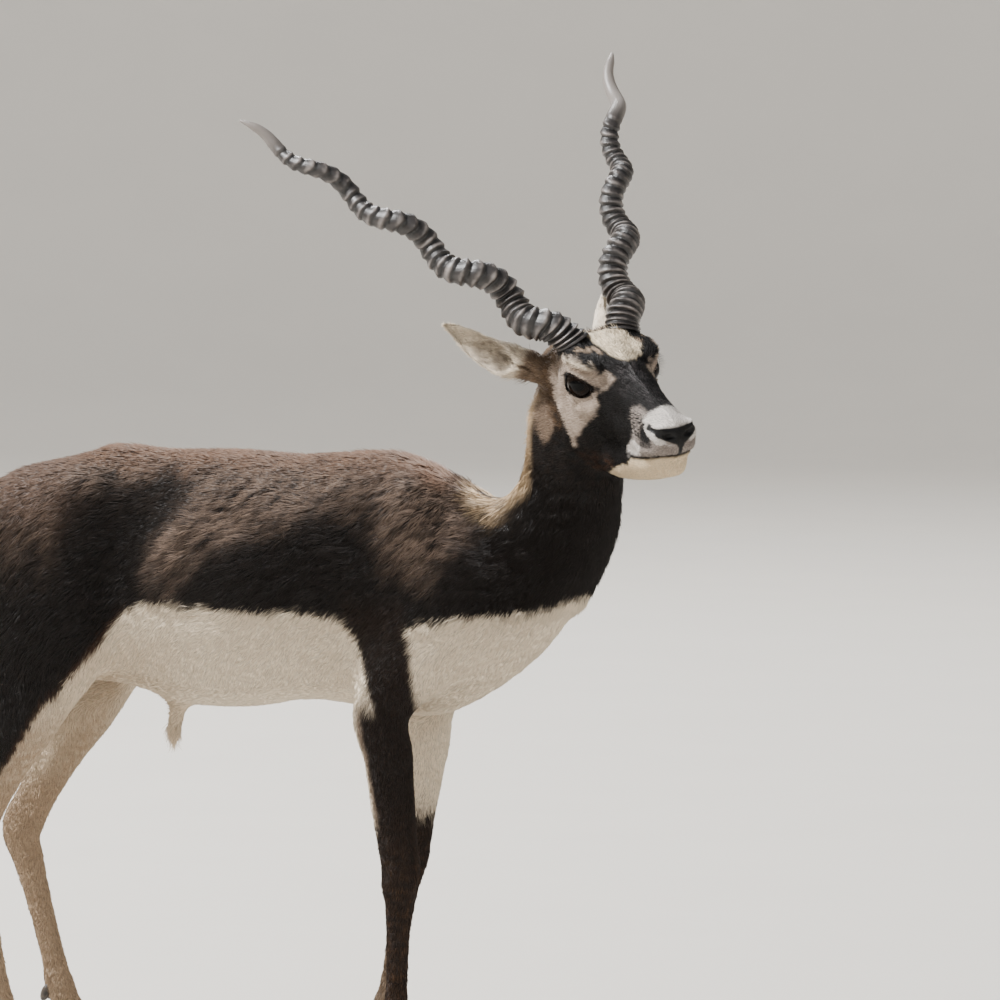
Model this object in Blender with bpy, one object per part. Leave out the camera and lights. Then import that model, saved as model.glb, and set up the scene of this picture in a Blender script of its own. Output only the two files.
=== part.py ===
"""A male blackbuck standing still, at life size, in metres.

The animal is built in its own body frame (X forward, Y to its left, Z up from the
floor). Closed sweeps for the flesh are fused and smoothed into one skin, and thin
plane cuts part the skin into torso, neck, head, tail and legs. Horns, ears, eyes and
hooves are set against flat cut faces. Last, everything moves so that the part's box
stands centred on the origin.
"""

import math

import bmesh
import bpy
import numpy as np
from mathutils import Matrix, Vector

# Driving dimensions
GAP = 0.0003
HEAD_ORIGIN = Vector((0.090, 0.0, 0.901))
HEAD_YAW = math.radians(-38.0)
HEAD_PITCH = math.radians(16.0)
HEAD_ROLL = math.radians(10.0)
EYE_RADIUS = 0.0215
EYE_CENTRE = (0.1050, 0.0415, 0.0275)
EYE_AXIS = (0.50, 0.85, 0.12)
LID_THICKNESS = 0.0030
LID_OPENING = (0.0215, 0.0135)
HORN_LENGTH = 0.510
HORN_TURNS = 4.2
HORN_PHASE = math.radians(120.0)
HORN_BASE = (0.070, 0.035, 0.066)
HORN_SEAT = (-0.45, 0.33, 0.83)
HORN_WANDER = (0.011, 0.005)
HORN_DIRECTIONS = {"right": (-0.775, -0.477, 0.414), "left": (-0.799, 0.457, 0.391)}
HORN_RADII = (
    (0.00, 0.0215), (0.08, 0.0205), (0.25, 0.0178), (0.45, 0.0150), (0.65, 0.0124),
    (0.80, 0.0100), (0.90, 0.0080), (0.96, 0.0055), (1.00, 0.0014))
HORN_RINGS = 36
HORN_RINGED = {"right": 0.90, "left": 0.76}
EAR_BASE = (0.012, 0.052, 0.016)
EAR_DIRECTION = (-0.840, 0.510, 0.255)
EAR_LENGTH = 0.134
EAR_STUB = 0.010
# Share of the ear's length, radius of its curl, half angle of the curl in degrees
EAR_CURL = (
    (0.00, 0.0190, 180.0), (0.10, 0.0195, 165.0), (0.22, 0.0210, 125.0),
    (0.38, 0.0204, 95.0), (0.55, 0.0187, 80.0), (0.72, 0.0160, 70.0),
    (0.87, 0.0110, 60.0), (0.96, 0.0062, 52.0), (1.00, 0.0028, 45.0))
EAR_BOW = 0.010
EAR_THICKNESS = 0.0030
HOOF_LENGTH = 0.050
HOOF_WIDTH = 0.0160
CORONET_SLOPE = 0.55
DEWCLAW = (0.0062, 0.0055, 0.0125)
LEG_CUT_HEIGHT = 0.455
LEG_SPLIT_X = -0.350
SHEATH_FRONT_X = -0.400
SHEATH_BACK_X = -0.505
TAIL_CUT_X = -0.7475

# Where the body frame's origin stands in the part's own centred frame
BODY_SHIFT = Vector((0.2416, -0.0749, 0.0))

# Skin resolution
VOXEL = 0.0040
RING_SIDES = 48
STEPS_PER_ROW = 6

# The torso from rump to breast: x, z of the widest point, half width,
# rise to the back, drop to the belly
TORSO = (
    (-0.740, 0.672, 0.030, 0.030, 0.035),
    (-0.722, 0.672, 0.066, 0.060, 0.085),
    (-0.680, 0.665, 0.094, 0.094, 0.130),
    (-0.620, 0.660, 0.106, 0.121, 0.155),
    (-0.560, 0.650, 0.104, 0.147, 0.155),
    (-0.520, 0.645, 0.098, 0.160, 0.157),
    (-0.470, 0.635, 0.098, 0.164, 0.150),
    (-0.400, 0.625, 0.112, 0.174, 0.158),
    (-0.330, 0.620, 0.118, 0.178, 0.154),
    (-0.260, 0.620, 0.116, 0.174, 0.142),
    (-0.200, 0.620, 0.108, 0.179, 0.145),
    (-0.140, 0.620, 0.098, 0.181, 0.155),
    (-0.080, 0.620, 0.092, 0.167, 0.155),
    (-0.030, 0.624, 0.086, 0.144, 0.133),
    (0.020, 0.634, 0.080, 0.118, 0.104),
    (0.065, 0.650, 0.070, 0.088, 0.072),
    (0.100, 0.662, 0.056, 0.058, 0.058),
    (0.122, 0.668, 0.034, 0.030, 0.030),
)
TORSO_LUMPS = (  # centre and half sizes, the left one of each pair
    ((-0.310, 0.044, 0.622), (0.160, 0.080, 0.125)),
    ((-0.535, 0.048, 0.742), (0.050, 0.040, 0.036)),
    ((-0.640, 0.044, 0.640), (0.090, 0.068, 0.110)),
    ((-0.100, 0.036, 0.655), (0.072, 0.058, 0.125)),
    ((-0.612, 0.012, 0.512), (0.026, 0.018, 0.034)),
)
SHEATH = (
    (-0.420, 0.000, 0.520, 0.022, 0.026, 0.026),
    (-0.430, 0.000, 0.485, 0.018, 0.021, 0.020),
    (-0.436, 0.000, 0.455, 0.014, 0.014, 0.014),
    (-0.439, 0.000, 0.432, 0.011, 0.011, 0.011),
    (-0.441, 0.000, 0.416, 0.006, 0.006, 0.006),
)

# The neck from inside the chest to the skull: x, y, z, half width, depth to the
# nape and to the throat
NECK = (
    (-0.010, 0.000, 0.630, 0.066, 0.090, 0.062),
    (0.050, 0.000, 0.664, 0.071, 0.092, 0.080),
    (0.082, 0.000, 0.712, 0.065, 0.082, 0.077),
    (0.094, -0.002, 0.760, 0.058, 0.068, 0.071),
    (0.096, -0.004, 0.810, 0.054, 0.060, 0.066),
    (0.098, -0.006, 0.855, 0.050, 0.052, 0.058),
    (0.104, -0.008, 0.900, 0.040, 0.038, 0.042),
)

# The skull in the head frame: x from the nape to the nose, z of the widest point,
# half width, rise to the forehead, drop
SKULL = (
    (-0.030, 0.000, 0.022, 0.016, 0.030),
    (-0.018, 0.000, 0.034, 0.026, 0.045),
    (0.000, 0.004, 0.043, 0.036, 0.056),
    (0.030, 0.010, 0.050, 0.046, 0.062),
    (0.060, 0.014, 0.052, 0.056, 0.064),
    (0.090, 0.014, 0.051, 0.060, 0.064),
    (0.120, 0.010, 0.047, 0.055, 0.062),
    (0.145, 0.004, 0.040, 0.049, 0.056),
    (0.170, 0.000, 0.035, 0.042, 0.050),
    (0.195, -0.004, 0.033, 0.038, 0.042),
    (0.220, -0.008, 0.032, 0.036, 0.032),
    (0.240, -0.010, 0.032, 0.030, 0.024),
    (0.254, -0.012, 0.027, 0.019, 0.018),
    (0.262, -0.013, 0.013, 0.009, 0.010),
)
JAW = (
    (0.012, -0.040, 0.026, 0.030, 0.030),
    (0.045, -0.056, 0.036, 0.034, 0.036),
    (0.080, -0.062, 0.036, 0.034, 0.035),
    (0.120, -0.064, 0.031, 0.034, 0.033),
    (0.155, -0.060, 0.028, 0.030, 0.030),
    (0.190, -0.053, 0.027, 0.022, 0.026),
    (0.220, -0.046, 0.026, 0.016, 0.021),
    (0.240, -0.042, 0.023, 0.013, 0.014),
    (0.250, -0.040, 0.017, 0.011, 0.010),
    (0.256, -0.038, 0.008, 0.006, 0.006),
)
HEAD_LUMPS = (  # centre and half sizes in the head frame, the left one of each pair
    ((0.100, 0.040, 0.052), (0.036, 0.021, 0.017)),
    ((0.112, 0.040, 0.002), (0.034, 0.018, 0.016)),
    ((0.078, 0.042, 0.026), (0.020, 0.017, 0.024)),
    ((0.075, 0.033, -0.036), (0.046, 0.020, 0.044)),
    ((0.243, 0.020, 0.000), (0.014, 0.013, 0.017)),
    ((0.222, 0.018, -0.020), (0.033, 0.018, 0.017)),
    ((0.228, 0.006, -0.048), (0.027, 0.018, 0.012)),
    ((0.062, 0.030, 0.056), (0.024, 0.024, 0.018)),
)

# Joints of each leg in the body frame, y as a distance from the middle
LEG_JOINTS = {
    "foreleg_right": (
        -1, (-0.135, 0.036, 0.735), (-0.030, 0.070, 0.605), (-0.128, 0.078, 0.485),
        (-0.103, 0.078, 0.283), (-0.110, 0.076, 0.088), (-0.078, 0.076, 0.036)),
    "foreleg_left": (
        1, (-0.135, 0.036, 0.735), (-0.036, 0.070, 0.605), (-0.122, 0.078, 0.485),
        (-0.148, 0.075, 0.283), (-0.176, 0.072, 0.088), (-0.146, 0.072, 0.036)),
    "hindleg_right": (
        -1, (-0.600, 0.050, 0.720), (-0.564, 0.080, 0.560), (-0.605, 0.080, 0.455),
        (-0.688, 0.072, 0.292), (-0.650, 0.072, 0.088), (-0.616, 0.072, 0.036)),
    "hindleg_left": (
        1, (-0.600, 0.050, 0.720), (-0.555, 0.080, 0.560), (-0.595, 0.080, 0.455),
        (-0.683, 0.070, 0.292), (-0.628, 0.070, 0.088), (-0.594, 0.070, 0.036)),
}
# Rows of a foreleg: joint number to start from, share of the way to the next joint,
# half width, depth ahead, depth behind
FORELEG_ROWS = (
    (0, 0.00, 0.020, 0.030, 0.030),
    (0, 0.50, 0.036, 0.070, 0.060),
    (1, 0.00, 0.040, 0.070, 0.080),
    (1, 0.45, 0.038, 0.055, 0.072),
    (2, 0.00, 0.033, 0.042, 0.043),
    (2, 0.30, 0.028, 0.034, 0.031),
    (2, 0.60, 0.023, 0.029, 0.029),
    (2, 0.85, 0.021, 0.026, 0.026),
    (3, 0.00, 0.021, 0.026, 0.025),
    (3, 0.12, 0.020, 0.022, 0.024),
    (3, 0.30, 0.015, 0.017, 0.018),
    (3, 0.70, 0.013, 0.014, 0.015),
    (3, 0.90, 0.015, 0.016, 0.017),
    (4, 0.00, 0.018, 0.018, 0.020),
    (4, 0.45, 0.015, 0.015, 0.017),
    (4, 0.80, 0.018, 0.018, 0.019),
    (4, 1.15, 0.018, 0.020, 0.018),
)
HINDLEG_ROWS = (
    (0, 0.00, 0.030, 0.060, 0.070),
    (0, 0.50, 0.044, 0.085, 0.115),
    (1, 0.00, 0.046, 0.082, 0.125),
    (1, 0.55, 0.042, 0.062, 0.105),
    (2, 0.00, 0.036, 0.044, 0.070),
    (2, 0.35, 0.027, 0.030, 0.046),
    (2, 0.70, 0.020, 0.024, 0.030),
    (2, 0.92, 0.020, 0.026, 0.030),
    (3, 0.03, 0.020, 0.024, 0.027),
    (3, 0.20, 0.017, 0.020, 0.022),
    (3, 0.45, 0.014, 0.017, 0.018),
    (3, 0.80, 0.014, 0.016, 0.017),
    (4, 0.00, 0.018, 0.019, 0.021),
    (4, 0.45, 0.015, 0.015, 0.017),
    (4, 0.80, 0.018, 0.018, 0.019),
    (4, 1.15, 0.018, 0.020, 0.018),
)
TAIL = (
    (-0.690, 0.000, 0.735, 0.016, 0.014, 0.014),
    (-0.728, 0.000, 0.742, 0.018, 0.015, 0.015),
    (-0.758, 0.000, 0.722, 0.020, 0.014, 0.014),
    (-0.771, 0.000, 0.680, 0.021, 0.013, 0.013),
    (-0.774, 0.000, 0.630, 0.018, 0.012, 0.012),
    (-0.772, 0.000, 0.585, 0.006, 0.005, 0.005),
)

# Base colour and roughness of each finish
FINISHES = {
    "coat_dark": ((0.055, 0.040, 0.030), 0.75),
    "coat_tan": ((0.330, 0.250, 0.170), 0.80),
    "coat_pale": ((0.720, 0.660, 0.560), 0.80),
    "horn": ((0.100, 0.090, 0.080), 0.45),
    "hoof": ((0.030, 0.026, 0.024), 0.40),
    "eye": ((0.010, 0.007, 0.005), 0.05),
}


def clear_scene():
    for obj in list(bpy.data.objects):
        bpy.data.objects.remove(obj)


def spline_rows(rows, steps):
    """Rows of numbers made denser by a Catmull-Rom curve through them."""
    rows = np.array(rows, float)
    padded = np.vstack((2 * rows[0] - rows[1], rows, 2 * rows[-1] - rows[-2]))
    fine = []
    for before, start, end, after in zip(padded, padded[1:], padded[2:], padded[3:]):
        for t in np.arange(steps) / steps:
            fine.append(
                0.5
                * (
                    2 * start
                    + (end - before) * t
                    + (2 * before - 5 * start + 4 * end - after) * t**2
                    + (3 * start - before - 3 * end + after) * t**3
                )
            )
    fine.append(rows[-1])
    return np.array(fine)


def bridge_rings(bm, rings):
    """Closed rings of points joined in turn, with a face over each end."""
    rings = [[bm.verts.new(p) for p in ring] for ring in rings]
    sides = len(rings[0])
    for ring, following in zip(rings, rings[1:]):
        for i in range(sides):
            j = (i + 1) % sides
            bm.faces.new((ring[i], ring[j], following[j], following[i]))
    bm.faces.new(rings[0][::-1])
    bm.faces.new(rings[-1])


def add_sweep(bm, rows, side_axis=(0.0, 1.0, 0.0), frame=None, steps=STEPS_PER_ROW, sides=RING_SIDES):
    """Rings along the rows' line: x, y, z, half width, depth on either side."""
    rows = spline_rows(rows, steps)
    rows[:, 3:] = np.maximum(rows[:, 3:], 0.0008)
    line = rows[:, :3]
    along = np.gradient(line, axis=0)
    along /= np.linalg.norm(along, axis=1)[:, None]
    side = np.array(side_axis) - along * (along @ np.array(side_axis))[:, None]
    side /= np.linalg.norm(side, axis=1)[:, None]
    ahead = np.cross(along, side)
    angles = np.linspace(0, 2 * math.pi, sides, endpoint=False)
    rings = []
    for centre, s, a, (width, front, back) in zip(line, side, ahead, rows[:, 3:]):
        depth = np.where(np.sin(angles) > 0, front, back)
        ring = centre + np.outer(np.cos(angles) * width, s)
        ring += np.outer(np.sin(angles) * depth, a)
        rings.append(ring if frame is None else [frame @ Vector(p) for p in ring])
    bridge_rings(bm, rings)


def add_lump(bm, centre, half_sizes, frame=None, turn=None):
    """An ellipsoid with its axes along the frame's, or turned first."""
    place = Matrix.Translation(centre) @ (turn or Matrix.Identity(4))
    place = place @ Matrix.Diagonal((*half_sizes, 1.0))
    if frame is not None:
        place = frame @ place
    bmesh.ops.create_uvsphere(bm, u_segments=20, v_segments=12, radius=1.0, matrix=place)


def object_from(bm, name):
    mesh = bpy.data.meshes.new(name)
    bmesh.ops.recalc_face_normals(bm, faces=bm.faces)
    bm.to_mesh(mesh)
    bm.free()
    obj = bpy.data.objects.new(name, mesh)
    bpy.context.scene.collection.objects.link(obj)
    return obj


def apply_modifiers(obj):
    graph = bpy.context.evaluated_depsgraph_get()
    mesh = bpy.data.meshes.new_from_object(obj.evaluated_get(graph))
    obj.modifiers.clear()
    obj.data = mesh


def combine(obj, other, operation):
    """Joins or cuts one solid with another, which is then gone."""
    modifier = obj.modifiers.new(operation, "BOOLEAN")
    modifier.operation = operation
    modifier.solver = "MANIFOLD"
    modifier.object = other
    apply_modifiers(obj)
    bpy.data.objects.remove(other)


def keep_largest(obj):
    """Leaves only the largest closed surface, so no loose scrap stays in the node."""
    bm = bmesh.new()
    bm.from_mesh(obj.data)
    left = set(bm.verts)
    largest = set()
    while left:
        patch = {left.pop()}
        edge = set(patch)
        while edge:
            edge = {e.other_vert(v) for v in edge for e in v.link_edges} - patch
            patch |= edge
        left -= patch
        largest = max(largest, patch, key=len)
    loose = [v for v in bm.verts if v not in largest]
    bmesh.ops.delete(bm, geom=loose, context="VERTS")
    bm.to_mesh(obj.data)
    bm.free()


def head_frame():
    turn = (
        Matrix.Rotation(HEAD_YAW, 4, "Z")
        @ Matrix.Rotation(HEAD_PITCH, 4, "Y")
        @ Matrix.Rotation(HEAD_ROLL, 4, "X")
    )
    return Matrix.Translation(HEAD_ORIGIN) @ turn


def mirrored(point, side):
    return Vector((point[0], point[1] * side, point[2]))


def axes_along(direction, up=(0.0, 0.0, 1.0)):
    """A turn whose Z runs along the direction, with Y as near to up as it can be."""
    z = Vector(direction).normalized()
    x = Vector(up).cross(z).normalized()
    return Matrix((x, z.cross(x), z)).transposed().to_4x4()


def leg_rows(name):
    side, *joints = LEG_JOINTS[name]
    joints = np.array(joints) * (1, side, 1)
    joints = np.vstack((joints, 2 * joints[-1] - joints[-2]))
    table = FORELEG_ROWS if name.startswith("fore") else HINDLEG_ROWS
    rows = []
    for start, share, width, front, back in table:
        point = joints[start] + (joints[start + 1] - joints[start]) * share
        rows.append((*point, width, front, back))
    return rows


def flat_rows(table):
    """Rows of a body that runs along X in its middle plane."""
    return [(x, 0, z, width, rise, drop) for x, z, width, rise, drop in table]


def make_flesh():
    """The whole body as one skin: overlapping sweeps, fused and smoothed."""
    bm = bmesh.new()
    frame = head_frame()
    add_sweep(bm, flat_rows(TORSO))
    add_sweep(bm, NECK)
    add_sweep(bm, flat_rows(SKULL), frame=frame)
    add_sweep(bm, flat_rows(JAW), frame=frame)
    for side, name in ((-1, "right"), (1, "left")):
        for centre, sizes in TORSO_LUMPS:
            add_lump(bm, mirrored(centre, side), sizes)
        for centre, sizes in HEAD_LUMPS:
            add_lump(bm, mirrored(centre, side), sizes, frame)
        base = mirrored(HORN_BASE, side)
        seat = mirrored(HORN_SEAT, side).normalized()
        rows = [(*(base + seat * s), 0.0235, 0.0235, 0.0235) for s in (-0.03, 0.0, 0.014)]
        add_sweep(bm, rows, frame=frame)
        base = mirrored(EAR_BASE, side)
        lean = mirrored(EAR_DIRECTION, side)
        rows = [(*(base + lean * s), 0.0185, 0.0185, 0.0185) for s in (-0.03, 0.0, 0.025)]
        add_sweep(bm, rows, frame=frame)
    for name in LEG_JOINTS:
        add_sweep(bm, leg_rows(name))
    add_sweep(bm, TAIL)
    add_sweep(bm, SHEATH)
    flesh = object_from(bm, "flesh")
    remesh = flesh.modifiers.new("fuse", "REMESH")
    remesh.mode = "VOXEL"
    remesh.voxel_size = VOXEL
    apply_modifiers(flesh)
    group = flesh.vertex_groups.new(name="softened")
    for vertex in flesh.data.vertices:
        share = min(1.0, max(0.03, (vertex.co.z - 0.42) / 0.14))
        above_neck = min(1.0, max(0.0, (vertex.co.z - 0.78) / 0.05))
        share = share * (1 - above_neck) + 0.14 * above_neck
        group.add([vertex.index], share, "REPLACE")
    smooth = flesh.modifiers.new("soften", "SMOOTH")
    smooth.factor = 0.5
    smooth.iterations = 110
    smooth.vertex_group = "softened"
    apply_modifiers(flesh)
    return flesh


def cut_planes():
    """The parting planes as a point and a normal each, in the body frame."""
    frame = head_frame()
    turn = frame.to_3x3()
    planes = {
        "neck": (Vector((0.068, 0.0, 0.692)), Vector((0.680, 0.0, 0.733)).normalized()),
        "head": (
            frame @ Vector((0.105, 0.0, -0.113)),
            (turn @ Vector((0.348, 0.0, 0.937))).normalized(),
        ),
        "legs": (Vector((0, 0, LEG_CUT_HEIGHT)), Vector((0, 0, 1))),
        "fore": (Vector((LEG_SPLIT_X, 0, 0)), Vector((1, 0, 0))),
        "middle": (Vector((0, 0, 0)), Vector((0, 1, 0))),
        "sheath_front": (Vector((SHEATH_FRONT_X, 0, 0)), Vector((1, 0, 0))),
        "sheath_back": (Vector((SHEATH_BACK_X, 0, 0)), Vector((1, 0, 0))),
        "tail": (Vector((TAIL_CUT_X, 0, 0)), Vector((1, 0, 0))),
    }
    for name, (_, *joints) in LEG_JOINTS.items():
        normal = Vector((-CORONET_SLOPE, 0, 1)).normalized()
        planes[name + "_coronet"] = (Vector((joints[-1][0], 0, joints[-1][2])), normal)
    return planes


# Each flesh piece: the cuts it lies between (plus keeps the side the normal points
# to), and the count of triangles to aim for
PIECES = {
    "torso": ((("neck", -1), ("legs", 1), ("tail", 1)), 2200),
    "neck": ((("neck", 1), ("head", -1), ("legs", 1)), 800),
    "head": ((("head", 1), ("neck", 1)), 2060),
    "tail": ((("tail", -1), ("legs", 1)), 240),
    "sheath": ((("legs", -1), ("sheath_front", -1), ("sheath_back", 1)), 90),
    "foreleg_right": (
        (("legs", -1), ("fore", 1), ("middle", -1), ("foreleg_right_coronet", 1)), 600),
    "foreleg_left": (
        (("legs", -1), ("fore", 1), ("middle", 1), ("foreleg_left_coronet", 1)), 600),
    "hindleg_right": (
        (("legs", -1), ("sheath_back", -1), ("middle", -1), ("hindleg_right_coronet", 1)), 680),
    "hindleg_left": (
        (("legs", -1), ("sheath_back", -1), ("middle", 1), ("hindleg_left_coronet", 1)), 680),
}


def slice_off(bm, point, normal, keep, cap):
    """Keeps the side of a plane that keep * normal points to, closed by flat faces."""
    geometry = list(bm.verts) + list(bm.edges) + list(bm.faces)
    cut = bmesh.ops.bisect_plane(
        bm, geom=geometry, dist=1e-6, plane_co=point, plane_no=normal,
        clear_inner=keep > 0, clear_outer=keep < 0)
    if cap:
        edges = [e for e in cut["geom_cut"] if isinstance(e, bmesh.types.BMEdge)]
        edges = [e for e in edges if e.is_valid and e.is_boundary]
        if edges:
            bmesh.ops.triangle_fill(bm, edges=edges, use_beauty=True, use_dissolve=False)


def make_piece(flesh, name):
    """One node of the flesh: a rough cut, a coarser mesh, then the exact cuts."""
    cuts, target = PIECES[name]
    planes = cut_planes()
    piece = flesh.copy()
    piece.data = flesh.data.copy()
    piece.name = name
    bpy.context.scene.collection.objects.link(piece)
    bm = bmesh.new()
    bm.from_mesh(piece.data)
    for plane, keep in cuts:
        point, normal = planes[plane]
        slice_off(bm, point - normal * keep * 0.03, normal, keep, cap=False)
    bm.to_mesh(piece.data)
    bm.free()
    count = len(piece.data.polygons) * 2
    thin = piece.modifiers.new("thin", "DECIMATE")
    thin.ratio = min(1.0, target * 1.15 / count)
    apply_modifiers(piece)
    bm = bmesh.new()
    bm.from_mesh(piece.data)
    for plane, keep in cuts:
        point, normal = planes[plane]
        slice_off(bm, point + normal * keep * GAP / 2, normal, keep, cap=True)
    bmesh.ops.dissolve_degenerate(bm, dist=1e-5, edges=bm.edges)
    bmesh.ops.triangulate(bm, faces=bm.faces)
    bmesh.ops.recalc_face_normals(bm, faces=bm.faces)
    bm.to_mesh(piece.data)
    bm.free()
    return piece


def almond_lids(frame, side):
    """A shell over the eyeball with an almond opening in front."""
    centre = frame @ mirrored(EYE_CENTRE, side)
    turn = frame.to_3x3().to_4x4() @ axes_along(mirrored(EYE_AXIS, side))
    place = Matrix.Translation(centre) @ turn
    bm = bmesh.new()
    bmesh.ops.create_uvsphere(
        bm, u_segments=20, v_segments=12, radius=EYE_RADIUS + LID_THICKNESS, matrix=place)
    shell = object_from(bm, "lids")
    bm = bmesh.new()
    half_length, half_height = LID_OPENING
    angles = np.linspace(0, 2 * math.pi, 20, endpoint=False)
    outline = []
    for a in angles:
        x = math.cos(a) * half_length
        y = math.sin(a) * abs(math.sin(a)) ** 0.35 * half_height
        outline.append((x, y))
    rings = []
    for depth, grow in ((EYE_RADIUS * 0.2, 0.9), (EYE_RADIUS * 1.5, 1.12)):
        rings.append([place @ Vector((x * grow, y * grow, depth)) for x, y in outline])
    bridge_rings(bm, rings)
    combine(shell, object_from(bm, "almond"), "DIFFERENCE")
    return shell


def round_cutter(start, direction, radius, length, sides=20):
    """A plain cylinder that starts at a point and runs along a direction."""
    bm = bmesh.new()
    turn = Matrix.Translation(start) @ axes_along(direction)
    rings = []
    for height in (0.0, length):
        ring = []
        for a in np.linspace(0, 2 * math.pi, sides, endpoint=False):
            ring.append(turn @ Vector((math.cos(a) * radius, math.sin(a) * radius, height)))
        rings.append(ring)
    bridge_rings(bm, rings)
    return object_from(bm, "cutter")


def eyeball(side, radius, name):
    """A globe in its socket, with its poles on the line of sight."""
    frame = head_frame()
    place = Matrix.Translation(frame @ mirrored(EYE_CENTRE, side))
    place = place @ frame.to_3x3().to_4x4() @ axes_along(mirrored(EYE_AXIS, side))
    bm = bmesh.new()
    bmesh.ops.create_uvsphere(bm, u_segments=16, v_segments=10, radius=radius, matrix=place)
    return object_from(bm, name)


def detail_head(head):
    """Lids, eye sockets, nostrils, line of the mouth and flat seats on the head."""
    frame = head_frame()
    turn = frame.to_3x3()
    for side, name in ((-1, "right"), (1, "left")):
        combine(head, almond_lids(frame, side), "UNION")
    for side, name in ((-1, "right"), (1, "left")):
        combine(head, eyeball(side, EYE_RADIUS + GAP, "socket"), "DIFFERENCE")
        bm = bmesh.new()
        tilt = Matrix.Rotation(side * math.radians(-35), 4, "Z")
        tilt = tilt @ Matrix.Rotation(math.radians(-25), 4, "Y")
        add_lump(bm, mirrored((0.250, 0.0235, 0.004), side), (0.012, 0.0050, 0.0070), frame, tilt)
        combine(head, object_from(bm, "nostril"), "DIFFERENCE")
        seat = mirrored(HORN_SEAT, side).normalized()
        start = frame @ mirrored(HORN_BASE, side)
        combine(head, round_cutter(start, turn @ seat, 0.0290, 0.07), "DIFFERENCE")
        lean = mirrored(EAR_DIRECTION, side).normalized()
        start = frame @ (mirrored(EAR_BASE, side) + lean * EAR_STUB)
        combine(head, round_cutter(start, turn @ lean, 0.0240, 0.07), "DIFFERENCE")
    bm = bmesh.new()
    half = [(0.198, 0.040, -0.041), (0.222, 0.036, -0.034), (0.244, 0.026, -0.028)]
    half += [(0.257, 0.012, -0.0245)]
    path = half + [(0.261, 0.0, -0.0235)] + [(x, -y, z) for x, y, z in reversed(half)]
    rows = [(*p, 0.0011, 0.0070, 0.0070) for p in path]
    add_sweep(bm, rows, (0.0, 0.0, 1.0), frame, steps=2, sides=8)
    combine(head, object_from(bm, "mouth"), "DIFFERENCE")
    keep_largest(head)


def horn_line(side, shares):
    """The corkscrew centre line of a horn in the head frame."""
    name = "right" if side < 0 else "left"
    lean = np.array(HORN_DIRECTIONS[name])
    lean /= np.linalg.norm(lean)
    first = np.cross(lean, (0, 1, 0))
    first /= np.linalg.norm(first)
    second = np.cross(lean, first)
    near, far = HORN_WANDER
    rise = np.clip(shares / 0.14, 0, 1)
    fade = np.clip((1 - shares) / 0.08, 0, 1) ** 0.5
    wander = (near + (far - near) * shares) * rise * rise * (3 - 2 * rise) * fade
    angle = side * (HORN_PHASE + 2 * math.pi * HORN_TURNS * shares)
    seat = mirrored(HORN_SEAT, side).normalized()
    start = np.array(mirrored(HORN_BASE, side) + seat * GAP)
    line = start + np.outer(shares * HORN_LENGTH, lean)
    line += (wander * np.cos(angle))[:, None] * first
    line += (wander * np.sin(angle))[:, None] * second
    return line, lean


def make_horn(side, name):
    """A tapering corkscrew with raised rings, wider apart towards the tip."""
    ringed = HORN_RINGED[name]
    rings = HORN_RINGS
    shares = []
    ridged = []
    for ring in range(rings):
        start = ringed * (ring / rings) ** 1.22
        end = ringed * ((ring + 1) / rings) ** 1.22
        shares += [start, start + (end - start) * 0.35]
        ridged += [0.0, 1.0]
    shares += list(np.linspace(ringed, 1.0, 9))
    ridged += [0.0] * 9
    shares = np.array(shares)
    ridged = np.array(ridged)
    line, lean = horn_line(side, shares)
    along = np.gradient(line, axis=0)
    along /= np.linalg.norm(along, axis=1)[:, None]
    seat = np.array(mirrored(HORN_SEAT, side).normalized())
    settled = np.clip(shares / 0.10, 0, 1)[:, None]
    along = seat * (1 - settled) + along * settled
    along /= np.linalg.norm(along, axis=1)[:, None]
    table = np.array(HORN_RADII)
    radii = np.interp(shares, table[:, 0], table[:, 1])
    radii = radii * (1 - 0.075 * (1 - ridged) * (shares < ringed))
    frame = head_frame()
    bm = bmesh.new()
    guide = np.array((0.0, 0.0, 1.0))
    all_rings = []
    for centre, a, radius in zip(line, along, radii):
        across = np.cross(a, guide)
        across /= np.linalg.norm(across)
        upward = np.cross(across, a)
        ring = []
        for angle in np.linspace(0, 2 * math.pi, 11, endpoint=False):
            point = centre + radius * (math.cos(angle) * across + math.sin(angle) * upward)
            ring.append(frame @ Vector(point))
        all_rings.append(ring)
    bridge_rings(bm, all_rings)
    return object_from(bm, "horn_" + name)


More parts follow.
